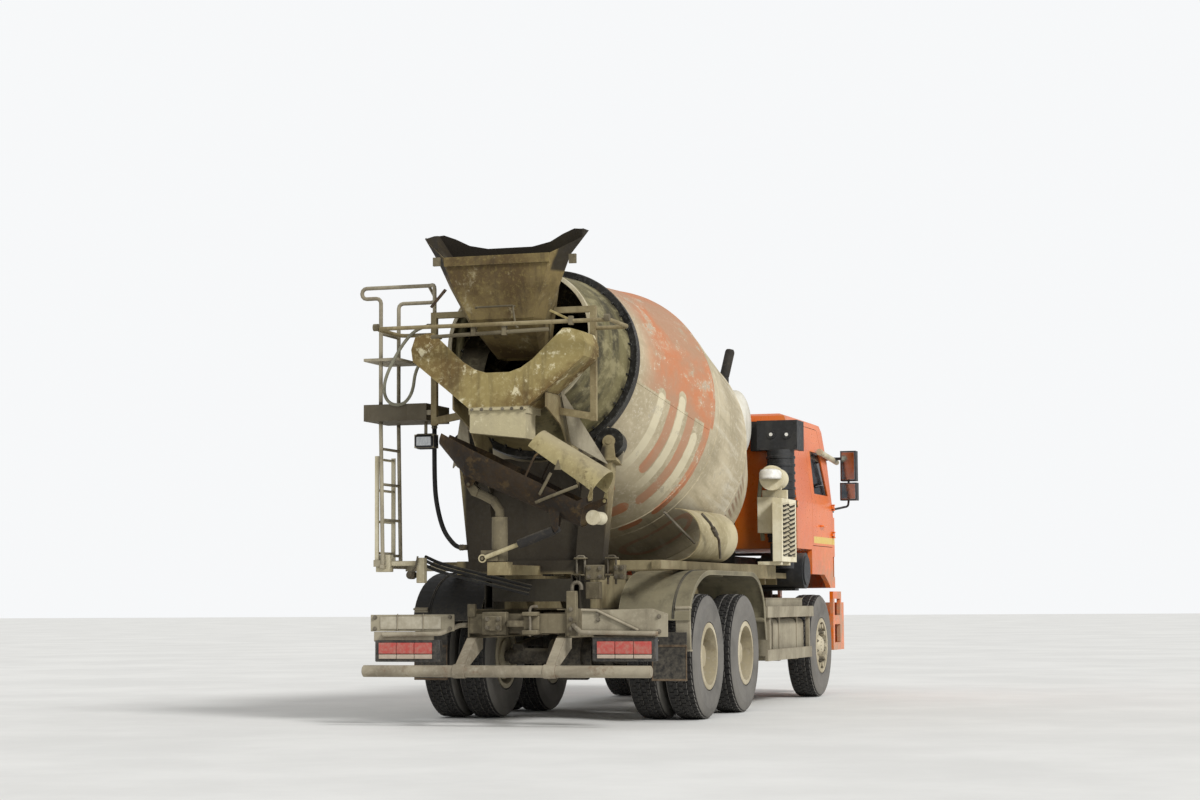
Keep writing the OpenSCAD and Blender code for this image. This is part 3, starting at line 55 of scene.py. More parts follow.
def makeCamera(view):
    ahead = Vector((math.cos(view["pitch"]) * math.cos(view["yaw"]),
                    math.cos(view["pitch"]) * math.sin(view["yaw"]), math.sin(view["pitch"])))
    right = ahead.cross(Vector((0, 0, 1))).normalized()
    up = right.cross(ahead)
    c, s = math.cos(view["roll"]), math.sin(view["roll"])
    right, up = c * right + s * up, c * up - s * right
    camera = bpy.data.objects.new("camera", bpy.data.cameras.new("camera"))
    camera.matrix_world = Matrix((right, up, -ahead)).transposed().to_4x4()
    camera.location = view["place"]
    camera.data.lens = camera.data.sensor_width * view["focalPx"] / view["widthPx"]
    camera.data.clip_end = 400
    bpy.context.scene.collection.objects.link(camera)
    bpy.context.scene.camera = camera


makeCamera(cameraView)


# Shader trees

# Linear colour
def rgb(code):
    parts = [int(code[i:i + 2], 16) / 255 for i in (1, 3, 5)]
    return tuple(p / 12.92 if p < 0.04045 else ((p + 0.055) / 1.055) ** 2.4 for p in parts) + (1,)


class Paint:
    def __init__(self, name):
        self.material = bpy.data.materials.new(name)
        self.material.use_nodes = True
        self.tree = self.material.node_tree
        self.tree.nodes.clear()
        self.place = self.node("TexCoord").outputs["Object"]
        self.normal = self.node("NewGeometry").outputs["Normal"]

    def node(self, kind, inputs=None, **props):
        made = self.tree.nodes.new("ShaderNode" + kind)
        for name, value in props.items():
            setattr(made, name, value)
        for key, value in (inputs or {}).items():
            if isinstance(value, bpy.types.NodeSocket):
                self.tree.links.new(value, made.inputs[key])
            else:
                made.inputs[key].default_value = value
        return made

    def math(self, kind, a, b=0.0, clamp=False):
        return self.node("Math", {0: a, 1: b}, operation=kind, use_clamp=clamp).outputs[0]

    def axis(self, vector, name):
        return self.node("SeparateXYZ", {0: vector}).outputs[name]

    def moved(self, stretch=(1, 1, 1), turn=(0, 0, 0), shift=(0, 0, 0)):
        return self.node("Mapping", {"Vector": self.place, "Scale": stretch, "Rotation": turn,
                                     "Location": shift}).outputs[0]

    def noise(self, scale, detail=6, rough=0.6, place=None, warp=0.0):
        return self.node("TexNoise", {"Vector": place or self.place, "Scale": scale, "Detail": detail,
                                      "Roughness": rough, "Distortion": warp}).outputs["Fac"]

    def step(self, value, low, high, to=(0.0, 1.0)):
        return self.node("MapRange", {"Value": value, "From Min": low, "From Max": high,
                                      "To Min": to[0], "To Max": to[1]},
                         interpolation_type="SMOOTHSTEP").outputs[0]

    def mix(self, share, a, b):
        a, b = (rgb(c) if isinstance(c, str) else c for c in (a, b))
        made = self.node("Mix", data_type="RGBA")
        for index, value in ((0, share), (6, a), (7, b)):
            if isinstance(value, bpy.types.NodeSocket):
                self.tree.links.new(value, made.inputs[index])
            else:
                made.inputs[index].default_value = value
        return made.outputs[2]

    def edges(self, radius):
        soft = self.node("Bevel", {"Radius": radius}, samples=4).outputs[0]
        same = self.node("VectorMath", {0: soft, 1: self.normal}, operation="DOT_PRODUCT")
        return self.step(same.outputs["Value"], 0.985, 0.86)

    # Ambient occlusion mask, used for painted shade in corners and recesses
    def corners(self, reach):
        made = self.node("AmbientOcclusion", {"Distance": reach}, samples=4)
        return self.step(made.outputs["AO"], 0.75, 0.15)

    def bump(self, height, depth, under=None):
        inputs = {"Height": height, "Strength": 0.6, "Distance": depth}
        if under is not None:
            inputs["Normal"] = under
        return self.node("Bump", inputs).outputs[0]

    def finish(self, colour, roughness, normal=None, **fixed):
        inputs = {"Base Color": colour, "Roughness": roughness}
        inputs.update({name.replace("_", " "): value for name, value in fixed.items()})
        if normal is not None:
            inputs["Normal"] = normal
        shader = self.node("BsdfPrincipled", inputs)
        self.node("OutputMaterial", {"Surface": shader.outputs[0]})
        return self.material


def weathered(name, look):
    paint = Paint(name)
    broad = paint.noise(look.get("patchScale", 1.6), 8, 0.62, warp=0.4)
    fine = paint.noise(look.get("grainScale", 26), 6, 0.7)
    colour = paint.mix(paint.step(broad, 0.40, 0.60), look["dark"], look["base"])
    colour = paint.mix(paint.math("MULTIPLY", paint.step(fine, 0.48, 0.72), look.get("grain", 0.5)),
                       colour, look["light"])
    down = paint.noise(look.get("streakScale", 7), 6, 0.65, paint.moved((1, 1, 0.09)))
    colour = paint.mix(paint.math("MULTIPLY", paint.step(down, 0.50, 0.70), look.get("streaks", 0.4)),
                       colour, look.get("streak", look["dark"]))
    blot = paint.noise(look.get("blotScale", 3.5), 9, 0.72, paint.moved(shift=(3, 7, 1)))
    colour = paint.mix(paint.math("MULTIPLY", paint.step(blot, 0.56, 0.64), look.get("blots", 0.5)),
                       colour, look.get("blot", look["light"]))
    # Painted shade: darker toward near-black where ambient occlusion finds corners and recesses
    colour = paint.mix(paint.math("MULTIPLY", paint.corners(look.get("reach", 0.12)),
                                  look.get("grime", 0.6)), colour, look.get("soil", "#2A241B"))
    worn = paint.math("MULTIPLY", paint.edges(look.get("edge", 0.006)), paint.step(fine, 0.36, 0.60))
    colour = paint.mix(paint.math("MULTIPLY", worn, look.get("wear", 0.7)), colour,
                       look.get("bare", look["light"]))
    height = paint.axis(paint.place, "Z")
    low = paint.math("MULTIPLY", paint.step(height, look.get("dustTop", 1.3), 0.3),
                     paint.step(fine, 0.30, 0.66))
    colour = paint.mix(paint.math("MULTIPLY", low, look.get("roadDust", 0.35)), colour, "#8A8170")
    lying = paint.math("MULTIPLY", paint.step(paint.axis(paint.normal, "Z"), 0.35, 0.95),
                       paint.step(broad, 0.34, 0.60))
    colour = paint.mix(paint.math("MULTIPLY", lying, look.get("topDust", 0.4)), colour,
                       look.get("dust", "#A69C86"))
    if "inner" in look:
        # Painted shade inside: near-black on what looks back, behind a plane and above a height
        deep = paint.math("MULTIPLY", paint.step(paint.axis(paint.normal, "X"), -0.15, -0.45),
                          paint.step(paint.axis(paint.place, "X"), look["inner"][0], look["inner"][0] + 0.03))
        deep = paint.math("MULTIPLY", deep, paint.step(height, look["inner"][1], look["inner"][1] + 0.03))
        colour = paint.mix(paint.math("MULTIPLY", deep, 0.9), colour, "#17130C")
    if "web" in look:
        # A colour laid inside a box of half sizes about a middle: painted shade on the pedestal and the subframe,
        # a patch of colour on the others
        inside = 1.0
        for name, middle, half in zip("XYZ", *look["web"]):
            off = paint.math("ABSOLUTE", paint.math("SUBTRACT", paint.axis(paint.place, name), middle))
            inside = paint.math("MULTIPLY", inside, paint.step(off, half, half - look["webEdge"]))
        colour = paint.mix(paint.math("MULTIPLY", inside, look["webShare"]), colour, look["webShadeAndStain"])
    roughness = paint.step(fine, 0.3, 0.7, look.get("roughness", (0.5, 0.8)))
    relief = paint.bump(fine, look.get("depth", 0.002))
    relief = paint.bump(blot, look.get("lumps", 0.003), relief)
    return paint.finish(colour, roughness, relief, Metallic=look.get("metallic", 0.0))


cakedLook = {"base": "#76684A", "dark": "#4A3D28", "light": "#9C9070", "blot": "#B3A988",
             "blots": 0.75, "blotScale": 4.5, "streak": "#3A2E1E", "streaks": 0.5, "depth": 0.004,
             "lumps": 0.008, "roughness": (0.75, 0.95), "topDust": 0.5, "roadDust": 0.0}
looks = {
    # The hopper's inside gets painted shade, near-black (inner)
    "hopperMud": dict(cakedLook, base="#7B6A42", dark="#524021", light="#938452", blots=0.45,
                      streaks=0.65, inner=(-4.06, 3.70)),
    "collectorMud": dict(cakedLook, base="#968654", dark="#6C562C", light="#BCAE80", blot="#DCD2AE",
                         blotScale=6.5, blots=0.85, grain=0.6, web=((-3.93, 0.0, 2.45), (0.35, 0.33, 0.165)),
                         webEdge=0.02, webShare=0.55, webShadeAndStain="#CFC6A6"),
    # The main chute's caked mud, darkened further with painted shade
    "chuteMud": dict(cakedLook, base="#33240F", dark="#1B1206", light="#513C1F", blot="#66502C",
                     blots=0.4, dust="#6E5C36"),
    "foldMud": dict(cakedLook, base="#9B8E64", dark="#6F5F38", light="#BAAE84", blot="#4C3D20",
                    blots=0.7, blotScale=3.2),
    "bladeMud": dict(cakedLook, base="#57503C", dark="#332C1E", light="#7B735B", blots=0.5),
    # Painted shadow: the web box lays near-black over the pedestal's web and lower beam
    "postBeige": {"base": "#958865", "dark": "#786A48", "light": "#AEA17C", "streak": "#55442A",
                  "streaks": 0.5, "blots": 0.5, "blot": "#6B5A3E", "bare": "#6E4A2E",
                  "roughness": (0.6, 0.85), "web": ((-3.05, 0.0, 1.80), (0.18, 0.66, 0.56)),
                  "webEdge": 0.05, "webShare": 0.93, "webShadeAndStain": "#1E160B"},
    # Painted shade: the web box lays near-black over the subframe's rear cross members
    "subframeBeige": {"base": "#8E8262", "dark": "#716546", "light": "#A69A78", "streak": "#55442A",
                      "streaks": 0.5, "blots": 0.5, "blot": "#6B5A3E", "bare": "#6E4A2E",
                      "roughness": (0.6, 0.85), "web": ((-3.35, 0.0, 1.09), (0.42, 0.47, 0.185)),
                      "webEdge": 0.04, "webShare": 0.9, "webShadeAndStain": "#15110B"},
    "dustySteel": {"base": "#756B53", "dark": "#544B37", "light": "#8E8468", "blot": "#4A4236",
                   "blots": 0.5, "streaks": 0.4, "bare": "#5E4A38", "roughness": (0.65, 0.9)},
    "darkFrame": {"base": "#35312B", "dark": "#1F1C19", "light": "#544D42", "blot": "#6B6353",
                  "blots": 0.35, "streaks": 0.3, "roadDust": 0.45, "roughness": (0.6, 0.9)},
    "blackPlastic": {"base": "#26272A", "dark": "#1C1D1F", "light": "#3B3C3E", "blot": "#4B4A47",
                     "blots": 0.25, "streaks": 0.3, "streak": "#45433F", "dust": "#77736A",
                     "topDust": 0.3, "wear": 0.4, "bare": "#4F4E4C", "roughness": (0.42, 0.62),
                     "depth": 0.0006, "lumps": 0.0},
    "creamPaint": {"base": "#CFC6AA", "dark": "#B5AA8B", "light": "#DDD6C0", "streak": "#8C7F62",
                   "streaks": 0.45, "blots": 0.3, "blot": "#8F8468", "bare": "#7A5A3C",
                   "roughness": (0.5, 0.75), "depth": 0.001},
    "coolerCream": {"base": "#EAE2C6", "dark": "#D3C8A6", "light": "#F2ECD8", "streak": "#A09270",
                    "streaks": 0.4, "blots": 0.25, "blot": "#A29670", "bare": "#8A6A4C",
                    "roughness": (0.5, 0.75), "depth": 0.001},
    "spareCream": {"base": "#C0B490", "dark": "#9C8F6A", "light": "#D6CCAE", "streak": "#6E5F40",
                   "streaks": 0.5, "blots": 0.4, "blot": "#7C6E4C", "bare": "#6A4F38",
                   "roughness": (0.6, 0.85)},
    "ladderGrey": {"base": "#A39A83", "dark": "#857C67", "light": "#B9B09A", "streak": "#655B49",
                   "streaks": 0.5, "blots": 0.4, "blot": "#6F6553", "bare": "#6A4F38",
                   "roughness": (0.6, 0.85), "web": ((-3.435, 1.06, 2.62), (0.29, 0.31, 0.10)),
                   "webEdge": 0.012, "webShare": 0.75, "webShadeAndStain": "#3A301D"},
    "greyCream": {"base": "#A39A83", "dark": "#857C67", "light": "#B9B09A", "streak": "#655B49",
                  "streaks": 0.5, "blots": 0.4, "blot": "#6F6553", "bare": "#6A4F38",
                  "roughness": (0.6, 0.85)},
    "barPaint": {"base": "#A69C86", "dark": "#7E7461", "light": "#BDB5A2", "blot": "#6C4B30",
                 "blots": 0.55, "blotScale": 5, "streaks": 0.3, "bare": "#5C3A22", "wear": 0.9,
                 "roughness": (0.6, 0.85)},
    "wheelPaint": {"base": "#CBC0A4", "dark": "#AA9E80", "light": "#DAD0B8", "blot": "#5F4F38",
                   "blots": 0.35, "streaks": 0.0, "bare": "#6B5138", "dustTop": 1.4,
                   "roadDust": 0.4, "roughness": (0.6, 0.8)},
    "tankWhite": {"base": "#E0DCCF", "dark": "#CBC5B3", "light": "#EAE7DD", "streak": "#A2987E",
                  "streaks": 0.45, "blots": 0.15, "blot": "#A2987E", "bare": "#8A7C62",
                  "roughness": (0.4, 0.6), "depth": 0.0006, "lumps": 0.0},
    "hoseRubber": {"base": "#1D1C1B", "dark": "#141312", "light": "#35332F", "blot": "#5A5547",
                   "blots": 0.3, "streaks": 0.0, "roughness": (0.55, 0.8), "depth": 0.0008,
                   "lumps": 0.0},
    "hoseGrey": {"base": "#8B8874", "dark": "#6C6958", "light": "#A5A28F", "blots": 0.2,
                 "streaks": 0.0, "roughness": (0.55, 0.8), "depth": 0.0008, "lumps": 0.0},
    "boltSteel": {"base": "#7A7263", "dark": "#4F4739", "light": "#9A917E", "blot": "#5A3F28",
                  "blots": 0.5, "streaks": 0.0, "roughness": (0.5, 0.8), "metallic": 0.3},
    "trackSteel": {"base": "#3A3936", "dark": "#232220", "light": "#6B6A66", "blot": "#5B4B38",
                   "blots": 0.35, "streaks": 0.0, "bare": "#9A9994", "wear": 0.8,
                   "roughness": (0.35, 0.6), "metallic": 0.75, "topDust": 0.2},
    "rodChrome": {"base": "#A8A8A6", "dark": "#8F8F8C", "light": "#C4C4C2", "blots": 0.15,
                  "blot": "#6A6355", "streaks": 0.0, "roughness": (0.18, 0.35), "metallic": 0.95,
                  "depth": 0.0003, "lumps": 0.0, "topDust": 0.15},
    "cabTrim": {"base": "#3B3B3E", "dark": "#2C2C2F", "light": "#4C4C50", "blots": 0.1,
                "streaks": 0.0, "grainScale": 90, "roughness": (0.75, 0.95), "depth": 0.001,
                "lumps": 0.0, "topDust": 0.2},
    "brownRust": {"base": "#5B4630", "dark": "#3A2B1C", "light": "#7C6346", "blot": "#8D7D60",
                  "blots": 0.4, "roughness": (0.75, 0.95)},
}
paints = {name: weathered(name, look) for name, look in looks.items()}


def cabPaint():
    look = {"orange": "#F0740A", "deep": "#DE6204", "grime": "#7E6230", "stripe": "#E9C23C",
            "fender": "#A2957D", "stripeLow": 1.63, "stripeTop": 1.70}
    paint = Paint("cabOrange")
    broad = paint.noise(1.1, 6, 0.6)
    fine = paint.noise(30, 5, 0.65)
    x, z = paint.axis(paint.place, "X"), paint.axis(paint.place, "Z")
    colour = paint.mix(paint.step(broad, 0.35, 0.65), look["deep"], look["orange"])
    inBand = paint.math("MULTIPLY", paint.step(z, look["stripeLow"], look["stripeLow"] + 0.004),
                        paint.step(z, look["stripeTop"] + 0.004, look["stripeTop"]))
    colour = paint.mix(paint.math("MULTIPLY", inBand, paint.step(x, 2.66, 2.665)), colour, look["stripe"])
    down = paint.noise(8, 6, 0.65, paint.moved((1, 1, 0.08)))
    colour = paint.mix(paint.math("MULTIPLY", paint.step(down, 0.55, 0.75), 0.30), colour, "#A84410")
    splash = paint.math("MULTIPLY", paint.step(z, 1.75, 1.15),
                        paint.step(paint.noise(5, 9, 0.7), 0.35, 0.62))
    colour = paint.mix(paint.math("MULTIPLY", splash, 0.75), colour, look["fender"])
    rear = paint.math("MULTIPLY", paint.step(x, 2.05, 1.84), paint.step(broad, 0.3, 0.6))
    colour = paint.mix(paint.math("MULTIPLY", rear, 0.35), colour, look["grime"])
    # Painted shade: darker in corners and recesses, from ambient occlusion
    colour = paint.mix(paint.math("MULTIPLY", paint.corners(0.05), 0.7), colour, "#3A1A0A")
    worn = paint.math("MULTIPLY", paint.edges(0.006), paint.step(fine, 0.45, 0.62))
    colour = paint.mix(paint.math("MULTIPLY", worn, 0.5), colour, "#F39A58")
    roughness = paint.math("ADD", paint.step(fine, 0.3, 0.7, (0.26, 0.38)),
                           paint.math("MULTIPLY", splash, 0.4))
    relief = paint.bump(paint.noise(240, 2, 0.5), 0.0003)
    return paint.finish(colour, roughness, relief, Coat_Weight=0.35, Coat_Roughness=0.18)


drumLook = {"tilt": 13.0, "z": 2.877, "middle": -10.0, "cream": "#C3B698", "creamDark": "#A89B7E",
            "creamLight": "#D8CEB4", "orange": "#C07C55", "orangeWorn": "#B0876A",
            "dust": "#A8A08E", "olive": "#6E6643", "oliveDark": "#3E3822", "olivePale": "#948B66",
            "pale": "#D6CCAE", "fingerPale": ((-0.32, 88.8), (0.0, 84.6), (0.31, 97.0)),
            "fingerOrange": ((-0.14, 125.0), (0.16, 136.0), (0.44, 134.0)),
            "dots": ((-0.07, 148.5), (0.245, 148.5), (0.56, 148.0)), "pitchRadius": 1.05}


def drumPaint(look):
    paint = Paint("drumPaint")
    tilt = math.radians(look["tilt"])
    # Turned so that x runs down the drum's own axis
    turned = paint.node("VectorRotate", {
        "Vector": paint.node("VectorMath", {0: paint.place, 1: (axleX, 0, look["z"])},
                             operation="SUBTRACT").outputs[0],
        "Axis": (0, 1, 0), "Angle": -tilt}, rotation_type="AXIS_ANGLE").outputs[0]
    s = paint.axis(turned, "X")
    # Angle from the top, turned so that the marks lie evenly on both sides of it
    level = paint.node("VectorRotate", {"Vector": turned, "Axis": (1, 0, 0),
                                        "Angle": math.radians(look["middle"])},
                       rotation_type="AXIS_ANGLE").outputs[0]
    round_ = paint.math("ABSOLUTE", paint.math("ARCTAN2", paint.axis(level, "Y"),
                                               paint.axis(level, "Z")))
    u = paint.math("MULTIPLY", round_, look["pitchRadius"])
    broad = paint.noise(1.3, 8, 0.62, warp=0.3)
    fine = paint.noise(24, 7, 0.7)
    blot = paint.noise(4.2, 9, 0.72)
    ragged = paint.math("MULTIPLY", paint.math("SUBTRACT", paint.noise(9, 5, 0.6), 0.5), 0.03)

    def along(degrees):
        return math.radians(degrees) * look["pitchRadius"]

    def capsule(centre, start, end, half):
        lean = paint.math("MULTIPLY", paint.math("SUBTRACT", u, start), 0.11)
        off = paint.math("SUBTRACT", paint.math("SUBTRACT", s, centre), lean)
        over = paint.math("MAXIMUM", paint.math("SUBTRACT", paint.math("ABSOLUTE", paint.math(
            "SUBTRACT", u, (start + end) / 2)), (end - start) / 2), 0.0)
        reach = paint.math("SQRT", paint.math("ADD", paint.math("MULTIPLY", off, off),
                                              paint.math("MULTIPLY", over, over)))
        return paint.step(paint.math("ADD", reach, ragged), half, half - 0.012)

    ground = paint.mix(paint.step(broad, 0.38, 0.62), look["creamDark"], look["cream"])
    ground = paint.mix(paint.math("MULTIPLY", paint.step(fine, 0.48, 0.70), 0.6), ground,
                       look["creamLight"])
    band = paint.math("MULTIPLY", paint.step(u, along(90), along(89.2)),
                      paint.math("MULTIPLY", paint.step(s, 0.600, 0.592),
                                 paint.step(s, -0.76, -0.40)))
    for centre, end in look["fingerOrange"]:
        band = paint.math("MAXIMUM", band, capsule(centre, along(80), along(end), 0.066))
    for centre, start in look["fingerPale"]:
        band = paint.math("MULTIPLY", band, paint.math("SUBTRACT", 1.0, capsule(
            centre, along(start), along(160), 0.068)))
    palest = 0.0
    for centre, start in look["fingerPale"]:
        palest = paint.math("MAXIMUM", palest, capsule(centre, along(start + 2), along(150), 0.058))
    palest = paint.math("MULTIPLY", palest, paint.math("MULTIPLY", paint.step(u, along(140), along(122)),
                                                       paint.step(blot, 0.68, 0.56, (0.3, 0.85))))
    for centre, middle in look["dots"]:
        band = paint.math("MAXIMUM", band, capsule(centre, along(middle - 2.5), along(middle + 2.5),
                                                   0.07))
    ring = paint.math("MULTIPLY", capsule(1.22, along(138), along(150), 0.26),
                      paint.math("SUBTRACT", 1.0, capsule(1.22, along(138), along(150), 0.19)))
    band = paint.math("MAXIMUM", band, paint.math("MULTIPLY", ring, 0.55))
    worn = paint.step(paint.math("ADD", broad, paint.math("MULTIPLY", s, 0.10)), 0.62, 0.42)
    stain = paint.mix(worn, look["orange"], look["orangeWorn"])
    keep = paint.math("MULTIPLY", band, paint.step(blot, 0.66, 0.52, (0.45, 1.0)))
    colour = paint.mix(keep, paint.mix(palest, ground, look["pale"]), stain)
    # Short strokes on the front cone
    stroke = paint.math("MULTIPLY", paint.step(paint.math("PINGPONG", u, 0.032), 0.014, 0.019),
                        paint.math("MULTIPLY", paint.step(s, 1.98, 2.02), paint.step(s, 2.62, 2.3)))
    stroke = paint.math("MULTIPLY", stroke, paint.math("MULTIPLY", paint.step(u, along(88), along(92)),
                                                       paint.step(u, along(118), along(114))))
    colour = paint.mix(paint.math("MULTIPLY", stroke, 0.75), colour, "#7E5A3E")
    # Streaks down the front cone and cement that ran over the belly
    run = paint.noise(2.6, 6, 0.6, paint.node("CombineXYZ", {
        0: paint.math("MULTIPLY", s, 0.35), 1: paint.math("MULTIPLY", u, 3.0), 2: 0.0}).outputs[0])
    colour = paint.mix(paint.math("MULTIPLY", paint.step(run, 0.50, 0.68),
                                  paint.step(s, 0.55, 0.75, (0.12, 0.55))), colour, "#8E8366")
    colour = paint.mix(paint.math("MULTIPLY", paint.step(run, 0.46, 0.34),
                                  paint.step(s, 0.55, 0.75, (0.05, 0.6))), colour, "#D3CBB6")
    colour = paint.mix(paint.math("MULTIPLY", paint.step(blot, 0.585, 0.66), 0.65), colour,
                       look["dust"])
    splash = paint.math("MULTIPLY", paint.step(paint.noise(60, 3, 0.5), 0.60, 0.66),
                        paint.step(blot, 0.50, 0.60))
    colour = paint.mix(paint.math("MULTIPLY", splash, 0.8), colour, "#D5CDB9")
    # Rear cone between the mouth and the track
    rings = paint.noise(3.2, 5, 0.6, paint.node("CombineXYZ", {
        0: paint.math("MULTIPLY", s, 2.4), 1: paint.math("MULTIPLY", u, 0.25), 2: 4.0}).outputs[0])
    olive = paint.mix(paint.step(rings, 0.38, 0.62), look["oliveDark"], look["olive"])
    olive = paint.mix(paint.math("MULTIPLY", paint.step(blot, 0.48, 0.62), 0.7), olive,
                      look["olivePale"])
    olive = paint.mix(paint.math("MULTIPLY", paint.step(fine, 0.55, 0.70), 0.4), olive, "#A79E7C")
    colour = paint.mix(paint.step(paint.math("ADD", s, ragged), -0.80, -0.815), colour, olive)
    colour = paint.mix(paint.step(s, -1.462, -1.470), colour, "#BDB59C")
    # Darker brown in patches on the underside
    under = paint.math("MULTIPLY", paint.step(round_, 2.35, 3.0), paint.step(broad, 0.30, 0.55))
    colour = paint.mix(paint.math("MULTIPLY", under, 0.55), colour, "#6E5E3A")
    roughness = paint.step(fine, 0.3, 0.7, (0.55, 0.8))
    relief = paint.bump(blot, 0.004, paint.bump(fine, 0.0015))
    return paint.finish(colour, roughness, relief)


def tyrePaint():
    paint = Paint("tyreRubber")
    side = paint.math("ABSOLUTE", paint.axis(paint.normal, "Y"))
    fine = paint.noise(40, 6, 0.7)
    broad = paint.noise(3.0, 6, 0.6)
    colour = paint.mix(paint.step(fine, 0.35, 0.7), "#1A1918", "#33312E")
    dust = paint.math("MULTIPLY", paint.step(side, 0.35, 0.9), paint.step(broad, 0.25, 0.6, (0.55, 1.0)))
    colour = paint.mix(paint.math("MULTIPLY", dust, 0.72), colour, "#85817A")
    colour = paint.mix(paint.math("MULTIPLY", paint.step(fine, 0.55, 0.72),
                                  paint.step(side, 0.6, 0.2, (0.1, 0.35))), colour, "#6E6A62")
    return paint.finish(colour, paint.step(fine, 0.3, 0.7, (0.7, 0.92)), paint.bump(fine, 0.001))


def fenderPaint():
    paint = Paint("fenderPaint")
    y, z = paint.axis(paint.place, "Y"), paint.axis(paint.place, "Z")
    broad = paint.noise(1.6, 7, 0.6)
    fine = paint.noise(28, 6, 0.7)
    down = paint.noise(10, 6, 0.65, paint.moved((1, 1, 0.15)))
    grey = paint.mix(paint.step(broad, 0.35, 0.65), "#6D6650", "#888066")
    grey = paint.mix(paint.math("MULTIPLY", paint.step(down, 0.48, 0.68), 0.5), grey, "#575040")
    black = paint.mix(paint.step(fine, 0.35, 0.75), "#131211", "#2B2926")
    colour = paint.mix(paint.step(y, -0.01, 0.01), grey, black)
    colour = paint.mix(paint.math("MULTIPLY", paint.edges(0.01), 0.5), colour, "#B3AA94")
    low = paint.math("MULTIPLY", paint.step(z, 1.1, 0.6), paint.step(fine, 0.3, 0.6))
    colour = paint.mix(paint.math("MULTIPLY", low, 0.4), colour, "#8C8473")
    return paint.finish(colour, paint.step(fine, 0.3, 0.7, (0.6, 0.85)), paint.bump(fine, 0.001))


def lampPaint():
    paint = Paint("lampLens")
    z = paint.axis(paint.place, "Z")
    fine = paint.noise(30, 6, 0.7)
    ribs = paint.math("PINGPONG", paint.axis(paint.place, "Y"), 0.004)
    colour = paint.mix(paint.step(z, 0.598, 0.592), "#B8423A", "#BFAF9C")
    colour = paint.mix(paint.math("MULTIPLY", paint.step(fine, 0.35, 0.7), 0.5), colour, "#A8907C")
    return paint.finish(colour, 0.4, paint.bump(ribs, 0.002), Coat_Weight=0.5)


def glassPaint():
    paint = Paint("windowGlass")
    fine = paint.noise(2.5, 6, 0.7)
    colour = paint.mix(paint.step(fine, 0.4, 0.7), "#0D1114", "#1D2226")
    return paint.finish(colour, paint.step(fine, 0.4, 0.7, (0.03, 0.16)), None, Alpha=0.82,
                        Specular_IOR_Level=0.8)


def plainPaint(name, dark, light, scale, roughness, **fixed):
    paint = Paint(name)
    fine = paint.noise(scale, 6, 0.65)
    colour = paint.mix(paint.step(fine, 0.35, 0.68), dark, light)
    return paint.finish(colour, paint.step(fine, 0.3, 0.7, roughness), paint.bump(fine, 0.0008), **fixed)


paints.update({
    "cabOrange": cabPaint(), "drumPaint": drumPaint(drumLook), "tyreRubber": tyrePaint(),
    "fenderPaint": fenderPaint(), "lampLens": lampPaint(), "windowGlass": glassPaint(),
    "capWhite": plainPaint("capWhite", "#D8D5CC", "#F2F1EC", 14, (0.35, 0.5)),
    "slotDark": plainPaint("slotDark", "#0C0B0A", "#1D1B18", 20, (0.8, 0.95)),
    "glassMirror": plainPaint("glassMirror", "#8E959C", "#A9AFB4", 9, (0.04, 0.10), Metallic=1.0),
    "lampAmber": plainPaint("lampAmber", "#D9771E", "#F0962E", 40, (0.2, 0.35), Coat_Weight=0.6),
    "lampClear": plainPaint("lampClear", "#B9BEC2", "#DADDDF", 40, (0.08, 0.18), Coat_Weight=0.8),
    "plateBlank": plainPaint("plateBlank", "#A39A85", "#BDB5A1", 12, (0.55, 0.75)),
})
print("paints made:", len(paints))

nodePaint = {
    "chassis_frame": "dustySteel", "front_bumper": "cabOrange", "front_axle": "darkFrame",
    "rear_bogie": "darkFrame", "engine": "darkFrame", "fuel_tank": "greyCream",
    "battery_box": "greyCream", "side_guards": "greyCream", "rear_fenders": "fenderPaint",
    "underrun_bar": "barPaint", "tail_lamps": "darkFrame", "mixer_subframe": "subframeBeige",
    "rear_pedestal": "postBeige", "front_pedestal": "greyCream", "drum_gearbox": "darkFrame",
    "hopper": "hopperMud", "collector": "collectorMud", "spare_chute": "spareCream",
    "access_ladder": "ladderGrey", "hose_bundle": "hoseRubber", "hose_loop": "hoseGrey",
    "oil_cooler": "coolerCream", "air_cleaner": "blackPlastic", "exhaust_stack": "darkFrame",
    "water_tank": "tankWhite", "drum": "drumPaint", "drum_blades": "bladeMud",
    "roller_left": "trackSteel", "roller_right": "trackSteel", "chute_turret": "dustySteel",
    "main_chute": "chuteMud", "folding_chute": "foldMud", "jack_barrel": "darkFrame",
    "jack_rod": "spareCream", "folding_ladder": "creamPaint", "cab_shell": "cabOrange",
    "cab_glass": "windowGlass", "cab_interior": "cabTrim", "cab_mirrors": "blackPlastic",
    "air_intake": "blackPlastic", "grille_panel": "blackPlastic", "door_left": "cabOrange",
    "door_right": "cabOrange", "door_glass_left": "windowGlass", "door_glass_right": "windowGlass",
    "knuckle_left": "darkFrame", "knuckle_right": "darkFrame"}


def dress(node, paint):
    mesh = nodes[node].data
    mesh.materials.clear()
    mesh.materials.append(paints[paint])


for node in nodes:
    dress(node, nodePaint.get(node, "wheelPaint" if node.startswith("rim") else "tyreRubber"))


# Geometry Nodes

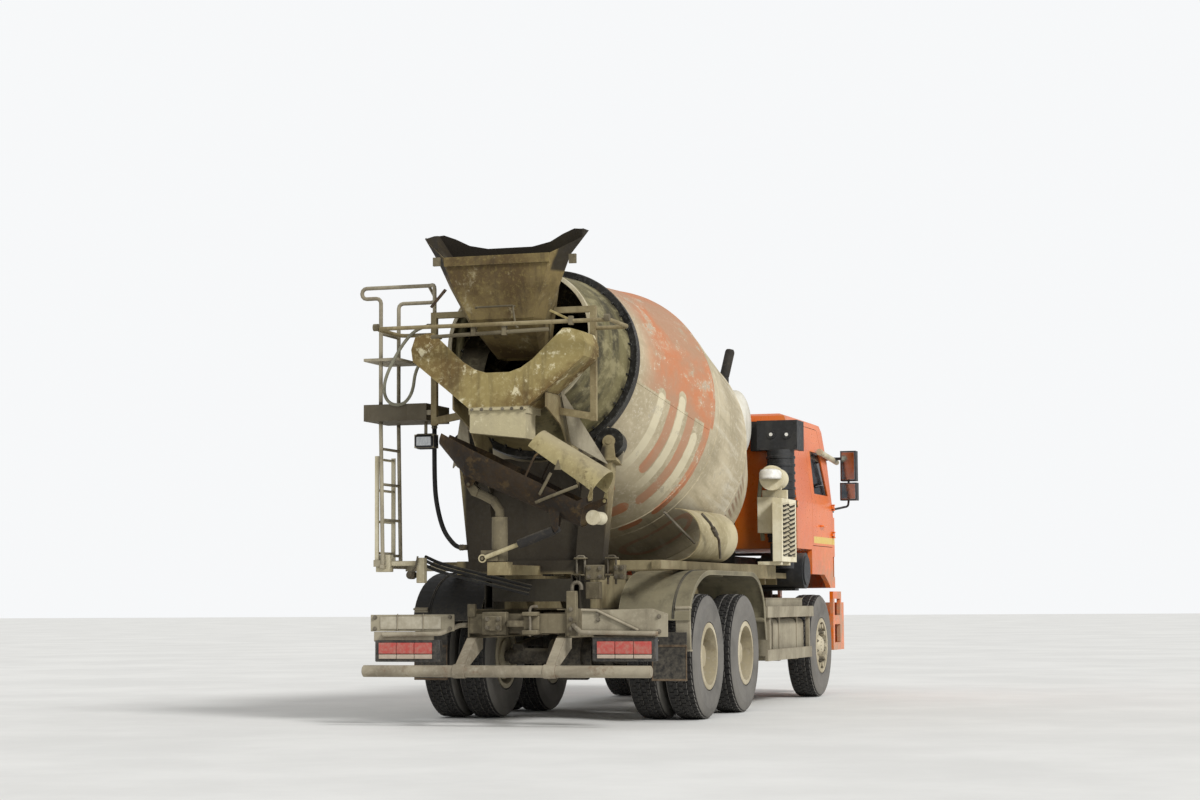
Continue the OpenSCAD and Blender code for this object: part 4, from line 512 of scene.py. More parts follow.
class Grower:
    def __init__(self, name, inputs):
        self.tree = bpy.data.node_groups.new(name, "GeometryNodeTree")
        self.tree.interface.new_socket("Geometry", in_out="OUTPUT", socket_type="NodeSocketGeometry")
        for label, kind in inputs.items():
            self.tree.interface.new_socket(label, in_out="INPUT", socket_type="NodeSocket" + kind)
        self.tree.interface.new_socket("Paint", in_out="INPUT", socket_type="NodeSocketMaterial")
        self.given = self.tree.nodes.new("NodeGroupInput").outputs

    def node(self, kind, inputs=None, **props):
        made = self.tree.nodes.new(kind)
        for name, value in props.items():
            setattr(made, name, value)
        for key, value in (inputs or {}).items():
            if isinstance(value, bpy.types.NodeSocket):
                self.tree.links.new(value, made.inputs[key])
            else:
                made.inputs[key].default_value = value
        return made.outputs

    def math(self, kind, a, b=0.0):
        return self.node("ShaderNodeMath", {0: a, 1: b}, operation=kind)[0]

    def shape(self, label):
        return self.node("GeometryNodeObjectInfo", {"Object": self.given[label]})["Geometry"]

    def end(self, geometry):
        real = self.node("GeometryNodeRealizeInstances", {"Geometry": geometry})[0]
        painted = self.node("GeometryNodeSetMaterial",
                            {"Geometry": real, "Material": self.given["Paint"]})[0]
        self.tree.links.new(painted, self.tree.nodes.new("NodeGroupOutput").inputs[0])
        return self.tree


def growLathe():
    g = Grower("lathe", {"Profile": "Object", "Points": "Int", "Segments": "Int"})
    grid = g.node("GeometryNodeMeshGrid", {
        "Size X": 1.0, "Size Y": 1.0, "Vertices X": g.math("ADD", g.given["Segments"], 1),
        "Vertices Y": g.given["Points"]})["Mesh"]
    place = g.node("GeometryNodeInputPosition")[0]
    split = g.node("ShaderNodeSeparateXYZ", {0: place})
    angle = g.math("MULTIPLY", g.math("ADD", split["X"], 0.5), 2 * math.pi)
    row = g.math("MULTIPLY", g.math("ADD", split["Y"], 0.5), g.math("SUBTRACT", g.given["Points"], 1))
    index = g.node("FunctionNodeFloatToInt", {0: row}, rounding_mode="ROUND")[0]
    point = g.node("GeometryNodeSampleIndex", {
        "Geometry": g.shape("Profile"), "Value": g.node("GeometryNodeInputPosition")[0],
        "Index": index}, data_type="FLOAT_VECTOR", domain="POINT")[0]
    at_ = g.node("ShaderNodeSeparateXYZ", {0: point})
    turned = g.node("ShaderNodeCombineXYZ", {
        0: g.math("MULTIPLY", at_["X"], g.math("COSINE", angle)),
        1: g.math("MULTIPLY", at_["X"], g.math("SINE", angle)), 2: at_["Z"]})[0]
    made = g.node("GeometryNodeSetPosition", {"Geometry": grid, "Position": turned})[0]
    return g.end(g.node("GeometryNodeMergeByDistance", {"Geometry": made, "Distance": 0.00005})[0])


def growPipe(filleted):
    inputs = {"Route": "Object", "Radius": "Float", "Sides": "Int"}
    if filleted:
        inputs["Corner"] = "Float"
    g = Grower("pipe" if filleted else "cord", inputs)
    round_ = g.shape("Route")
    if filleted:
        round_ = g.node("GeometryNodeFilletCurve", {
            "Curve": round_, "Count": 6, "Radius": g.given["Corner"], "Limit Radius": True},
            mode="POLY")[0]
    section = g.node("GeometryNodeCurvePrimitiveCircle", {
        "Resolution": g.given["Sides"], "Radius": g.given["Radius"]})[0]
    return g.end(g.node("GeometryNodeCurveToMesh", {
        "Curve": round_, "Profile Curve": section, "Fill Caps": True})[0])


def growRing():
    g = Grower("ring", {"Item": "Object", "Count": "Int", "Radius": "Float"})
    ring = g.node("GeometryNodeMeshCircle", {
        "Vertices": g.given["Count"], "Radius": g.given["Radius"]}, fill_type="NONE")[0]
    turn = g.node("FunctionNodeAlignRotationToVector", {
        "Vector": g.node("GeometryNodeInputPosition")[0]}, axis="X", pivot_axis="Z")[0]
    return g.end(g.node("GeometryNodeInstanceOnPoints", {
        "Points": ring, "Instance": g.shape("Item"), "Rotation": turn})[0])


def growRow():
    g = Grower("row", {"Item": "Object", "Count": "Int", "Offset": "Vector"})
    line = g.node("GeometryNodeMeshLine", {
        "Count": g.given["Count"], "Offset": g.given["Offset"]}, mode="OFFSET")[0]
    return g.end(g.node("GeometryNodeInstanceOnPoints", {
        "Points": line, "Instance": g.shape("Item")})[0])


def growSpots():
    g = Grower("spots", {"Spots": "Object", "Item": "Object", "Turn": "Vector"})
    turn = g.node("FunctionNodeEulerToRotation", {0: g.given["Turn"]})[0]
    return g.end(g.node("GeometryNodeInstanceOnPoints", {
        "Points": g.shape("Spots"), "Instance": g.shape("Item"), "Rotation": turn})[0])


trees = {"lathe": growLathe(), "pipe": growPipe(True), "cord": growPipe(False), "ring": growRing(),
         "row": growRow(), "spots": growSpots()}


def shown(name, data):
    made = bpy.data.objects.new(name, data)
    bpy.context.scene.collection.objects.link(made)
    return made


# Baked mesh of a tree
def grow(kind, paint, **values):
    host = shown("host", bpy.data.meshes.new("host"))
    modifier = host.modifiers.new("grow", "NODES")
    modifier.node_group = trees[kind]
    for socket in trees[kind].interface.items_tree:
        if socket.in_out == "INPUT":
            value = paints[paint] if socket.name == "Paint" else values[socket.name]
            modifier[socket.identifier] = value
    host.update_tag()
    depsgraph = bpy.context.evaluated_depsgraph_get()
    mesh = bpy.data.meshes.new_from_object(host.evaluated_get(depsgraph), depsgraph=depsgraph)
    for used in [host] + [v for v in values.values() if isinstance(v, bpy.types.Object)]:
        data = used.data
        bpy.data.objects.remove(used)
        if data.users == 0:
            (bpy.data.meshes if isinstance(data, bpy.types.Mesh) else bpy.data.curves).remove(data)
    return mesh


def signedVolume(mesh):
    mesh.calc_loop_triangles()
    total = 0.0
    for t in mesh.loop_triangles:
        a, b, c = (mesh.vertices[i].co for i in t.vertices)
        total += a.dot(b.cross(c))
    return total


# profile is a list of radius and height, closed by itself
def lathe(profile, segments, paint):
    points = list(profile) + [profile[0]]
    mesh = bpy.data.meshes.new("profile")
    mesh.from_pydata([(r, 0, h) for r, h in points], [], [])
    made = grow("lathe", paint, Profile=shown("profile", mesh), Points=len(points), Segments=segments)
    if signedVolume(made) < 0:
        made.flip_normals()
    return made


# A tube along points, with its corners rounded where corner is given
def pipe(points, radius, corner, paint, sides=12):
    curve = bpy.data.curves.new("route", "CURVE")
    curve.dimensions = "3D"
    line = curve.splines.new("POLY")
    line.points.add(len(points) - 1)
    for spot, p in zip(line.points, points):
        spot.co = (p[0], p[1], p[2], 1)
    values = {"Route": shown("route", curve), "Radius": float(radius), "Sides": sides}
    if corner:
        values["Corner"] = float(corner)
    made = grow("pipe" if corner else "cord", paint, **values)
    if signedVolume(made) < 0:
        made.flip_normals()
    return made


class Form:
    def __init__(self):
        self.mesh = bmesh.new()

    def solid(self, points, faces):
        spots = [self.mesh.verts.new(p) for p in points]
        for face in faces:
            self.mesh.faces.new([spots[i] for i in face])
        return self

    def box(self, x0, x1, y0, y1, z0, z1):
        return self.solid([(x, y, z) for z in (z0, z1) for y in (y0, y1) for x in (x0, x1)],
                          [(0, 2, 3, 1), (4, 5, 7, 6), (0, 1, 5, 4), (2, 6, 7, 3), (0, 4, 6, 2),
                           (1, 3, 7, 5)])

    # outline lies in the plane across axis
    def prism(self, outline, low, high, axis="z"):
        put = {"z": lambda a, b, h: (a, b, h), "y": lambda a, b, h: (a, h, b),
               "x": lambda a, b, h: (h, a, b)}[axis]
        n = len(outline)
        start = len(self.mesh.faces)
        self.solid([put(a, b, h) for h in (low, high) for a, b in outline],
                   [tuple(range(n - 1, -1, -1)), tuple(range(n, 2 * n))] +
                   [(i, (i + 1) % n, n + (i + 1) % n, n + i) for i in range(n)])
        self.mesh.faces.ensure_lookup_table()
        bmesh.ops.recalc_face_normals(self.mesh, faces=self.mesh.faces[start:])
        return self

    def rod(self, p, q, r, sides=16, r2=None):
        p, q = Vector(p), Vector(q)
        turn = (q - p).to_track_quat("Z", "Y").to_matrix().to_4x4()
        bmesh.ops.create_cone(self.mesh, cap_ends=True, segments=sides, radius1=r,
                              radius2=r if r2 is None else r2, depth=(q - p).length,
                              matrix=Matrix.Translation((p + q) / 2) @ turn)
        return self

    def add(self, mesh, matrix=None):
        start = len(self.mesh.verts)
        self.mesh.from_mesh(mesh)
        if matrix is not None:
            self.mesh.verts.ensure_lookup_table()
            moved = self.mesh.verts[start:]
            bmesh.ops.transform(self.mesh, matrix=matrix, verts=moved)
        return self

    def data(self, name="form"):
        mesh = bpy.data.meshes.new(name)
        self.mesh.to_mesh(mesh)
        self.mesh.free()
        return mesh


# Puts a finished mesh on a body
def piece(name, mesh, body, paint, stands=(), angle=32, bevel=0.0, shift=False):
    if shift:
        mesh.transform(Matrix.Translation((axleX, 0, 0)))
    mesh.materials.clear()
    mesh.materials.append(paints[paint])
    for face in mesh.polygons:
        face.material_index = 0
    mesh.shade_smooth()
    mesh.set_sharp_from_angle(angle=math.radians(angle))
    made = shown(name, mesh)
    if bevel:
        edge = made.modifiers.new("edge", "BEVEL")
        edge.width, edge.segments, edge.limit_method = bevel, 2, "ANGLE"
        edge.angle_limit = math.radians(40)
        edge.harden_normals = False
    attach(made, body)
    if stands:
        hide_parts(*stands)
    return made


def template(mesh):
    return shown("item", mesh)


# A hexagon head, its axis along z
def boltHead(across, tall, washer=0.0):
    form = Form()
    if washer:
        form.rod((0, 0, 0), (0, 0, washer), across * 0.72, 16)
    form.rod((0, 0, washer), (0, 0, washer + tall), across * 0.577, 6)
    form.rod((0, 0, washer + tall), (0, 0, washer + tall + tall * 0.3), across * 0.30, 10)
    return form.data()


# Heads on points, turned by degrees about x, y and z
def boltsAt(spots, across, tall, turn, washer=0.0):
    mesh = bpy.data.meshes.new("spots")
    mesh.from_pydata([tuple(spot) for spot in spots], [], [])
    return grow("spots", "boltSteel", Spots=shown("spots", mesh),
                Item=template(boltHead(across, tall, washer)),
                Turn=[math.radians(v) for v in turn])


def softRoute(points, steps):
    # Quadratic B-spline through the middles, straight at both ends
    spots = [Vector(p) for p in points]
    middles = [(a + b) / 2 for a, b in zip(spots, spots[1:])]
    route = [spots[0], middles[0]]
    for a, b, c in zip(middles, spots[1:], middles[1:]):
        for i in range(1, steps + 1):
            t = i / steps
            route.append((1 - t) ** 2 * a + 2 * t * (1 - t) * b + t * t * c)
    return route + [spots[-1]]


# Each route is a radius, a corner radius and points in axle coordinates
def pipes(form, routes, sides=12):
    for radius, corner, points in routes:
        form.add(pipe(points, radius, corner, "boltSteel", sides))
    return form


def mirrored(points):
    return [(x, -y, z) for x, y, z in points]


def span(side, a, b):
    return sorted((side * a, side * b))


# Cords, along the routes that the part's source has

cords = {
    "hoseBundle": {"node": "hose_bundle", "radius": 0.020, "paint": "hoseRubber", "slot": "hose_rubber",
                   "points": [(-1.200, 0.860, 2.5497), (-1.200, 0.860, 2.100), (-1.190, 0.850, 1.880),
                              (-1.160, 0.800, 1.640), (-1.110, 0.725, 1.520), (-1.060, 0.690, 1.490),
                              (-1.060, 0.640, 1.490)]},
    "hoseLoop": {"node": "hose_loop", "radius": 0.014, "paint": "hoseGrey", "slot": "hose_grey",
                 "points": [(-1.607, 0.7253, 3.340), (-1.607, 0.790, 3.340), (-1.680, 0.880, 3.280),
                            (-1.680, 1.000, 3.130), (-1.645, 1.130, 2.920), (-1.645, 1.145, 2.780),
                            (-1.645, 1.100, 2.700), (-1.645, 1.025, 2.675), (-1.645, 0.945, 2.695),
                            (-1.645, 0.880, 2.790), (-1.645, 0.860, 2.960), (-1.607, 0.800, 3.070),
                            (-1.607, 0.7253, 3.070)]}}


def makeCords():
    fittings = Form()
    for name, look in cords.items():
        route = softRoute(look["points"], 8)
        tube = pipe(route, look["radius"], 0, look["paint"], 16)
        made = piece(name, tube, "chassis", look["paint"], stands=(look["node"],),
                     angle=60, shift=True)
        # A crimped sleeve at each end
        for end, inner in ((route[0], route[1]), (route[-1], route[-2])):
            way = (inner - end).normalized()
            r = look["radius"]
            fittings.rod(end, end + way * 0.045, r + 0.004, 20)
            fittings.rod(end + way * 0.012, end + way * 0.018, r + 0.007, 20)
            fittings.rod(end + way * 0.030, end + way * 0.036, r + 0.007, 20)
    piece("hoseSleeves", fittings.data(), "chassis", "boltSteel", shift=True)


makeCords()
print("cords made")


# Drum

drumTurn = Matrix(((math.sin(math.radians(13)), 0, math.cos(math.radians(13))),
                   (0, -1, 0), (math.cos(math.radians(13)), 0, -math.sin(math.radians(13))))
                  ).transposed().to_4x4()
drumPlace = Matrix.Translation((axleX, 0, 2.877)) @ drumTurn
drumShape = {"outline": [(0.620, -1.488), (1.160, 0.495), (1.144, 1.834), (0.895, 2.928),
                         (0.750, 2.990), (0.500, 3.030), (0.240, 3.050)],
             "wall": 0.016, "beads": (0.495, 0.755, 1.834), "beadHalf": 0.009, "beadHigh": 0.005,
             "segments": 160, "seams": ((-0.77, 0.495, -101), (0.495, 1.834, -62),
                                        (1.834, 2.92, -128), (-0.77, 0.495, 79),
                                        (0.495, 1.834, 118), (1.834, 2.92, 52))}


def radiusAt(s):
    line = drumShape["outline"]
    for (r0, s0), (r1, s1) in zip(line, line[1:]):
        if s <= s1:
            return r0 + (r1 - r0) * (s - s0) / (s1 - s0)
    return line[-1][0]


def drumProfile():
    spots = sorted({s for _, s in drumShape["outline"]} | {-1.0, -0.5, 0.0, 1.2, 2.4})
    outer = []
    for s in spots:
        if s in drumShape["beads"] or s in (0.495, 1.834):
            continue
        outer.append((radiusAt(s), s))
    for bead in drumShape["beads"]:
        h, up = drumShape["beadHalf"], drumShape["beadHigh"]
        outer += [(radiusAt(bead - h), bead - h), (radiusAt(bead - h / 2) + up * 0.8, bead - h / 2),
                  (radiusAt(bead) + up, bead), (radiusAt(bead + h / 2) + up * 0.8, bead + h / 2),
                  (radiusAt(bead + h), bead + h)]
    outer.sort(key=lambda p: p[1])
    wall = drumShape["wall"]
    inner = [(0.620 - wall, -1.488), (1.160 - wall, 0.495), (1.144 - wall, 1.832),
             (0.895 - wall, 2.922), (0.734, 2.974), (0.484, 3.014), (0.0, 3.030)]
    return outer + [(0.240, 3.090), (0.060, 3.090), (0.060, 3.229), (0.0, 3.229)] + inner[::-1]


def makeDrum():
    shell = lathe(drumProfile(), drumShape["segments"], "drumPaint")
    form = Form().add(shell)
    for start, end, degrees in drumShape["seams"]:
        steps = 24
        ring = []
        for i in range(steps + 1):
            s = start + (end - start) * i / steps
            for offset, lift in ((-0.006, -0.003), (0.0, 0.004), (0.006, -0.003)):
                r = radiusAt(s) + lift
                a = -math.radians(degrees) + offset / r
                ring.append((r * math.cos(a), r * math.sin(a), s))
        faces = [(0, 1, 2), (3 * steps + 2, 3 * steps + 1, 3 * steps)]
        for i in range(steps):
            k = 3 * i
            faces += [(k, k + 3, k + 4, k + 1), (k + 1, k + 4, k + 5, k + 2), (k + 2, k + 5, k + 3, k)]
        count = len(form.mesh.faces)
        form.solid(ring, faces)
        form.mesh.faces.ensure_lookup_table()
        bmesh.ops.recalc_face_normals(form.mesh, faces=form.mesh.faces[count:])
    mesh = form.data()
    mesh.transform(drumPlace)
    piece("drumShell", mesh, "drum", "drumPaint", stands=("drum",), angle=20)
    track = lathe([(0.781, -0.871), (0.845, -0.871), (0.851, -0.865), (0.851, -0.787),
                   (0.845, -0.781), (0.806, -0.781)], 160, "trackSteel")
    form = Form().add(track)
    form.add(grow("ring", "trackSteel", Item=template(Form().box(
        0.745, 0.80, -0.006, 0.006, -0.905, -0.868).data()), Count=36, Radius=0.001))
    mesh = form.data()
    mesh.transform(drumPlace)
    piece("drumTrack", mesh, "drum", "trackSteel", angle=30)
    rim = lathe([(0.604, -1.492), (0.634, -1.492), (0.642, -1.482), (0.642, -1.458), (0.628, -1.452)],
                160, "creamPaint")
    rim.transform(drumPlace)
    piece("drumMouthRim", rim, "drum", "creamPaint")
    # Hatch with its ring of bolts
    hatch = lathe([(0.0, 0.0), (0.23, 0.0), (0.23, 0.018), (0.21, 0.026), (0.0, 0.026)], 48, "creamPaint")
    form = Form().add(hatch)
    form.add(grow("ring", "boltSteel", Item=template(boltHead(0.024, 0.014)), Count=14, Radius=0.195),
             Matrix.Translation((0, 0, 0.024)))
    mesh = form.data()
    slope = math.atan2(-0.016, 1.339)
    mesh.transform(drumPlace @ Matrix.Rotation(math.radians(-140), 4, "Z") @
                   Matrix.Translation((radiusAt(1.15) - 0.012, 0, 1.15)) @
                   Matrix.Rotation(math.radians(90) - slope, 4, "Y"))
    piece("drumHatch", mesh, "drum", "creamPaint")


makeDrum()
print("drum made")


# Wheels

tyreShape = {"half": 0.1425, "radius": 0.5425, "rim": 0.2623, "rows": 5, "blocks": 54,
             "tread": 0.012, "segments": 96, "flat": 0.108}


def makeTyre():
    look = tyreShape
    h, r, t = look["half"], look["radius"], look["tread"]
    side = [(look["rim"], h - 0.025), (0.292, h - 0.024), (0.300, h - 0.008), (0.318, h - 0.012),
            (0.350, h - 0.004), (0.400, h), (0.445, h - 0.001), (0.452, h + 0.0), (0.460, h - 0.003),
            (0.490, h - 0.006), (0.512, h - 0.013), (0.525, h - 0.022), (r - t, h - 0.036)]
    profile = side + [(a, -b) for a, b in side[::-1]]
    form = Form().add(lathe(profile, look["segments"], "tyreRubber"))
    width = 2 * look["flat"] / look["rows"]
    for row in range(look["rows"]):
        y = -look["flat"] + width * (row + 0.5)
        long = 0.052 if row in (0, look["rows"] - 1) else 0.055
        top = r - (0.005 if row in (0, look["rows"] - 1) else 0.0014)
        w, l, skew = width * 0.43, long / 2, 0.007 * (-1 if row % 2 else 1)
        block = Form().solid(
            [(r - t - 0.004, -l, y - w), (r - t - 0.004, l, y - w + skew),
             (r - t - 0.004, l, y + w + skew), (r - t - 0.004, -l, y + w),
             (top, -l + 0.002, y - w + 0.002), (top, l - 0.002, y - w + 0.002 + skew),
             (top, l - 0.002, y + w - 0.002 + skew), (top, -l + 0.002, y + w - 0.002)],
            [(0, 1, 2, 3), (7, 6, 5, 4), (0, 4, 5, 1), (1, 5, 6, 2), (2, 6, 7, 3), (3, 7, 4, 0)])
        bmesh.ops.recalc_face_normals(block.mesh, faces=block.mesh.faces)
        blocks = grow("ring", "tyreRubber", Item=template(block.data()), Count=look["blocks"],
                      Radius=0.0005)
        form.add(blocks, Matrix.Rotation(math.radians(3.3) * (row % 2), 4, "Z"))
    return form.data()


def wheelPlace(x, y, side):
    # Local z points outwards
    out = Vector((0, side, 0))
    up = Vector((0, 0, 1))
    return Matrix.Translation((x + axleX, side * y, wheelZ)) @ Matrix(
        (up, out.cross(up), out)).transposed().to_4x4()


wheelSet = {"front": (5.010, (1.0275,)), "middle": (1.320, (1.1025, 0.7725)),
            "rear": (0.0, (1.1025, 0.7725))}
nutRings = {"front": ((10, 0.1675, 1.116, 0.030, 0.030, 0.008), (12, 0.072, 1.160, 0.016, 0.010, 0.0)),
            "rear": ((10, 0.1675, 0.951, 0.030, 0.036, 0.008), (12, 0.100, 1.163, 0.018, 0.010, 0.0))}


def makeWheels():
    tyre = makeTyre()
    for axle, (x, ys) in wheelSet.items():
        for side, word in ((1, "left"), (-1, "right")):
            form = Form()
            for y in ys:
                form.add(tyre, wheelPlace(x, y, side))
            node = ("tyre_" if axle == "front" else "tyres_") + axle + "_" + word
            body = "wheel_" + axle + "_" + word
            piece("tyre" + axle.title() + word.title(), form.data(), body, "tyreRubber",
                  stands=(node,), angle=28)
            form = Form()
            for count, radius, y, across, tall, washer in nutRings["front" if axle == "front" else "rear"]:
                ring = grow("ring", "boltSteel", Item=template(boltHead(across, tall, washer)),
                            Count=count, Radius=radius)
                form.add(ring, wheelPlace(x, y, side))
            piece("nuts" + axle.title() + word.title(), form.data(), body, "boltSteel")


makeWheels()
print("wheels made")


# Rear of the frame

rearLook = {"face": -1.660, "housing": {1: (0.635, 1.215, 0.531, 0.713), -1: (0.689, 1.228, 0.538, 0.735)},
            "lens": {1: (0.700, 1.179, 0.556, 0.690), -1: (0.730, 1.195, 0.562, 0.700)},
            "split": 0.598, "cells": 3, "gap": 0.005,
            "plate": (0.508, 1.255, 0.784, 0.923), "blank": (0.625, 1.166, 0.803, 0.907),
            "panel": [(-0.600, 0.951), (-1.198, 0.963), (-1.327, 0.921), (-1.327, 0.735),
                      (-0.700, 0.735), (-0.700, 0.780), (-0.600, 0.780)],
            "barX": -1.840, "barZ": 0.460, "barRadius": 0.049, "barHalf": 1.237,
            "arm": [(-1.400, 0.7247), (-1.560, 0.7247), (-1.875, 0.480), (-1.840, 0.415),
                    (-1.800, 0.470), (-1.400, 0.640)], "armSpan": (0.350, 0.430)}


def makeTailLamps(look):
    housings, lenses = Form(), Form()
    for side in (1, -1):
        y0, y1, z0, z1 = look["housing"][side]
        a, b = span(side, y0, y1)
        housings.box(look["face"], -1.585, a, b, z0, z1)
        y0, y1, z0, z1 = look["lens"][side]
        wide = (y1 - y0) / look["cells"]
        for i in range(look["cells"]):
            a, b = span(side, y0 + i * wide + look["gap"] / 2, y0 + (i + 1) * wide - look["gap"] / 2)
            lenses.box(look["face"] - 0.014, look["face"] + 0.002, a, b, look["split"], z1)
            lenses.box(look["face"] - 0.012, look["face"] + 0.002, a, b, z0, look["split"] - look["gap"])
    piece("lampHousings", housings.data(), "chassis", "blackPlastic", stands=("tail_lamps",),
          bevel=0.010, shift=True)
    piece("lampLenses", lenses.data(), "chassis", "lampLens", bevel=0.004, shift=True)


def makeUnderrun(look):
    form = Form()
    half, r = look["barHalf"], look["barRadius"]
    form.rod((look["barX"], -half, look["barZ"]), (look["barX"], half, look["barZ"]), r, 40)
    for side in (1, -1):
        form.rod((look["barX"], side * half, look["barZ"]),
                 (look["barX"], side * (half + 0.006), look["barZ"]), r * 0.94, 40, r * 0.80)
        a, b = span(side, *look["armSpan"])
        form.prism(look["arm"], a, b, "y")
        # Collar that holds the bar
        a, b = span(side, look["armSpan"][0] - 0.012, look["armSpan"][1] + 0.012)
        form.rod((look["barX"], a, look["barZ"]), (look["barX"], b, look["barZ"]), r + 0.008, 40)
        a, b = span(side, 0.690, 1.225)
        form.box(-1.655, -1.645, a, b, 0.700, 0.781)
        form.box(-1.655, -1.560, a, b, 0.700, 0.710)
    piece("underrunBar", form.data(), "chassis", "barPaint", stands=("underrun_bar",),
          bevel=0.003, shift=True)
    form = Form()
    y0, y1, z0, z1 = look["plate"]
    form.box(-1.655, -1.643, y0, y1, z0, z1)
    form.prism(look["panel"], -1.655, -1.643, "x")
    piece("lampPlates", form.data(), "chassis", "greyCream", bevel=0.003, shift=True)
    y0, y1, z0, z1 = look["blank"]
    piece("blankPlate", Form().box(-1.661, -1.654, y0, y1, z0, z1).data(), "chassis", "plateBlank",
          bevel=0.002, shift=True)
    form = pipes(Form(), [
        (0.020, 0.06, [(-1.450, -0.4305, 0.838), (-1.560, -0.500, 0.830), (-1.678, -0.600, 0.772),
                       (-1.678, -1.252, 0.763)]),
        (0.020, 0.06, [(-1.450, 0.4305, 0.835), (-1.560, 0.500, 0.830), (-1.678, 0.620, 0.765),
                       (-1.678, 1.136, 0.757)]),
        (0.011, 0.03, [(-1.668, -0.600, 0.955), (-1.668, -0.733, 0.950), (-1.668, -1.086, 0.789)]),
        (0.004, 0.01, [(-1.655, 0.780, 0.926), (-1.666, 0.780, 0.926), (-1.666, 0.780, 0.790)]),
        (0.004, 0.01, [(-1.655, 1.010, 0.926), (-1.666, 1.010, 0.926), (-1.666, 1.010, 0.790)])])
    piece("rearPipes", form.data(), "chassis", "barPaint", shift=True, angle=50)


def makeFrameEnd():
    form = Form()
    form.box(-1.615, -1.540, 0.068, 0.279, 0.754, 0.941)
    form.box(-1.640, -1.613, 0.100, 0.247, 0.786, 0.909)
    form.box(-1.615, -1.540, -0.202, -0.068, 0.906, 0.940)
    form.box(-1.615, -1.540, -0.202, -0.068, 0.754, 0.790)
    form.box(-1.575, -1.540, -0.202, -0.068, 0.788, 0.908)
    form.box(-1.570, -1.500, -0.522, -0.438, 0.742, 1.110)
    form.box(-1.560, -1.515, 0.360, 0.430, 0.900, 1.008)
    for y in (-0.417, -0.689):
        form.box(-1.135, -1.060, y - 0.055, y + 0.055, 1.376, 1.392)
        form.box(-1.135, -1.060, y - 0.055, y + 0.055, 1.236, 1.252)
    form.box(-1.145, -1.082, -0.632, -0.470, 1.204, 1.328)
    form.box(-1.145, -1.082, -0.814, -0.716, 1.204, 1.328)
    form.box(-1.145, -1.082, -0.600, -0.469, 1.043, 1.186)
    piece("frameCastings", form.data(), "chassis", "dustySteel", bevel=0.010, shift=True)
    routes = [(0.016, 0.05, [(-1.535, -0.480, 1.090), (-1.535, -0.480, 1.180), (-1.535, -0.560, 1.180),
                             (-1.535, -0.560, 1.120)]),
              (0.012, 0.03, [(-1.595, -0.135, 0.740), (-1.595, -0.135, 0.985), (-1.595, -0.200, 0.985)])]
    for y in (-0.417, -0.689):
        routes.append((0.010, 0.02, [(-1.097, y - 0.035, 1.165), (-1.097, y - 0.035, 1.402),
                                     (-1.097, y + 0.035, 1.402), (-1.097, y + 0.035, 1.165)]))
    form = pipes(Form(), routes)
    piece("frameRods", form.data(), "chassis", "boltSteel", shift=True, angle=50)
    backFacing = (0, -90, 0)
    spots = [(-1.655, -0.740, 0.920), (-1.655, -0.740, 0.875), (-1.655, -1.255, 0.900),
             (-1.655, -1.255, 0.780), (-1.655, 0.545, 0.900), (-1.655, 0.545, 0.806),
             (-1.655, 1.215, 0.900), (-1.655, 1.215, 0.806)]
    spots += [(-1.640, y, z) for y in (0.125, 0.222) for z in (0.812, 0.884)]
    spots += [(-1.570, -0.480, z) for z in (0.800, 0.880, 0.960)]
    spots += [(-1.145, y, z) for y in (-0.600, -0.502, -0.740, -0.790) for z in (1.230, 1.302)]
    form = Form().add(boltsAt(spots, 0.026, 0.012, backFacing, 0.004))
    nuts = [(-1.097, y + d, 1.222) for y in (-0.417, -0.689) for d in (-0.035, 0.035)]
    form.add(boltsAt(nuts, 0.030, 0.014, (0, 0, 0), 0.004))
    sides = [(x, z) for x in (-0.70, 0.21, 0.85, 1.44, 2.12) for z in (1.00, 1.06)]
    form.add(boltsAt([(x, -0.4305, z - 0.12) for x, z in sides], 0.026, 0.012, (90, 0, 0), 0.004))
    form.add(boltsAt([(x, 0.4305, z - 0.12) for x, z in sides], 0.026, 0.012, (-90, 0, 0), 0.004))
    piece("frameBolts", form.data(), "chassis", "boltSteel", shift=True, angle=25)


def makeMudflaps():
    flaps, strips = Form(), Form()
    for side in (1, -1):
        a, b = span(side, 0.922, 1.231)
        flaps.box(-0.727, -0.719, a, b, 0.351, 0.760)
        strips.box(-0.733, -0.713, a, b, 0.351, 0.368)
        strips.box(-0.733, -0.713, a, b, 0.636, 0.655)
        for y in (0.925, 1.222):
            c, d = span(side, y, y + 0.010)
            strips.box(-0.731, -0.727, c, d, 0.360, 0.645)
    piece("mudflaps", flaps.data(), "chassis", "hoseRubber", bevel=0.003, shift=True)
    piece("flapStrips", strips.data(), "chassis", "brownRust", bevel=0.002, shift=True)


makeTailLamps(rearLook)
makeUnderrun(rearLook)
makeFrameEnd()
makeMudflaps()
print("rear made")


# Hopper, funnel and chutes

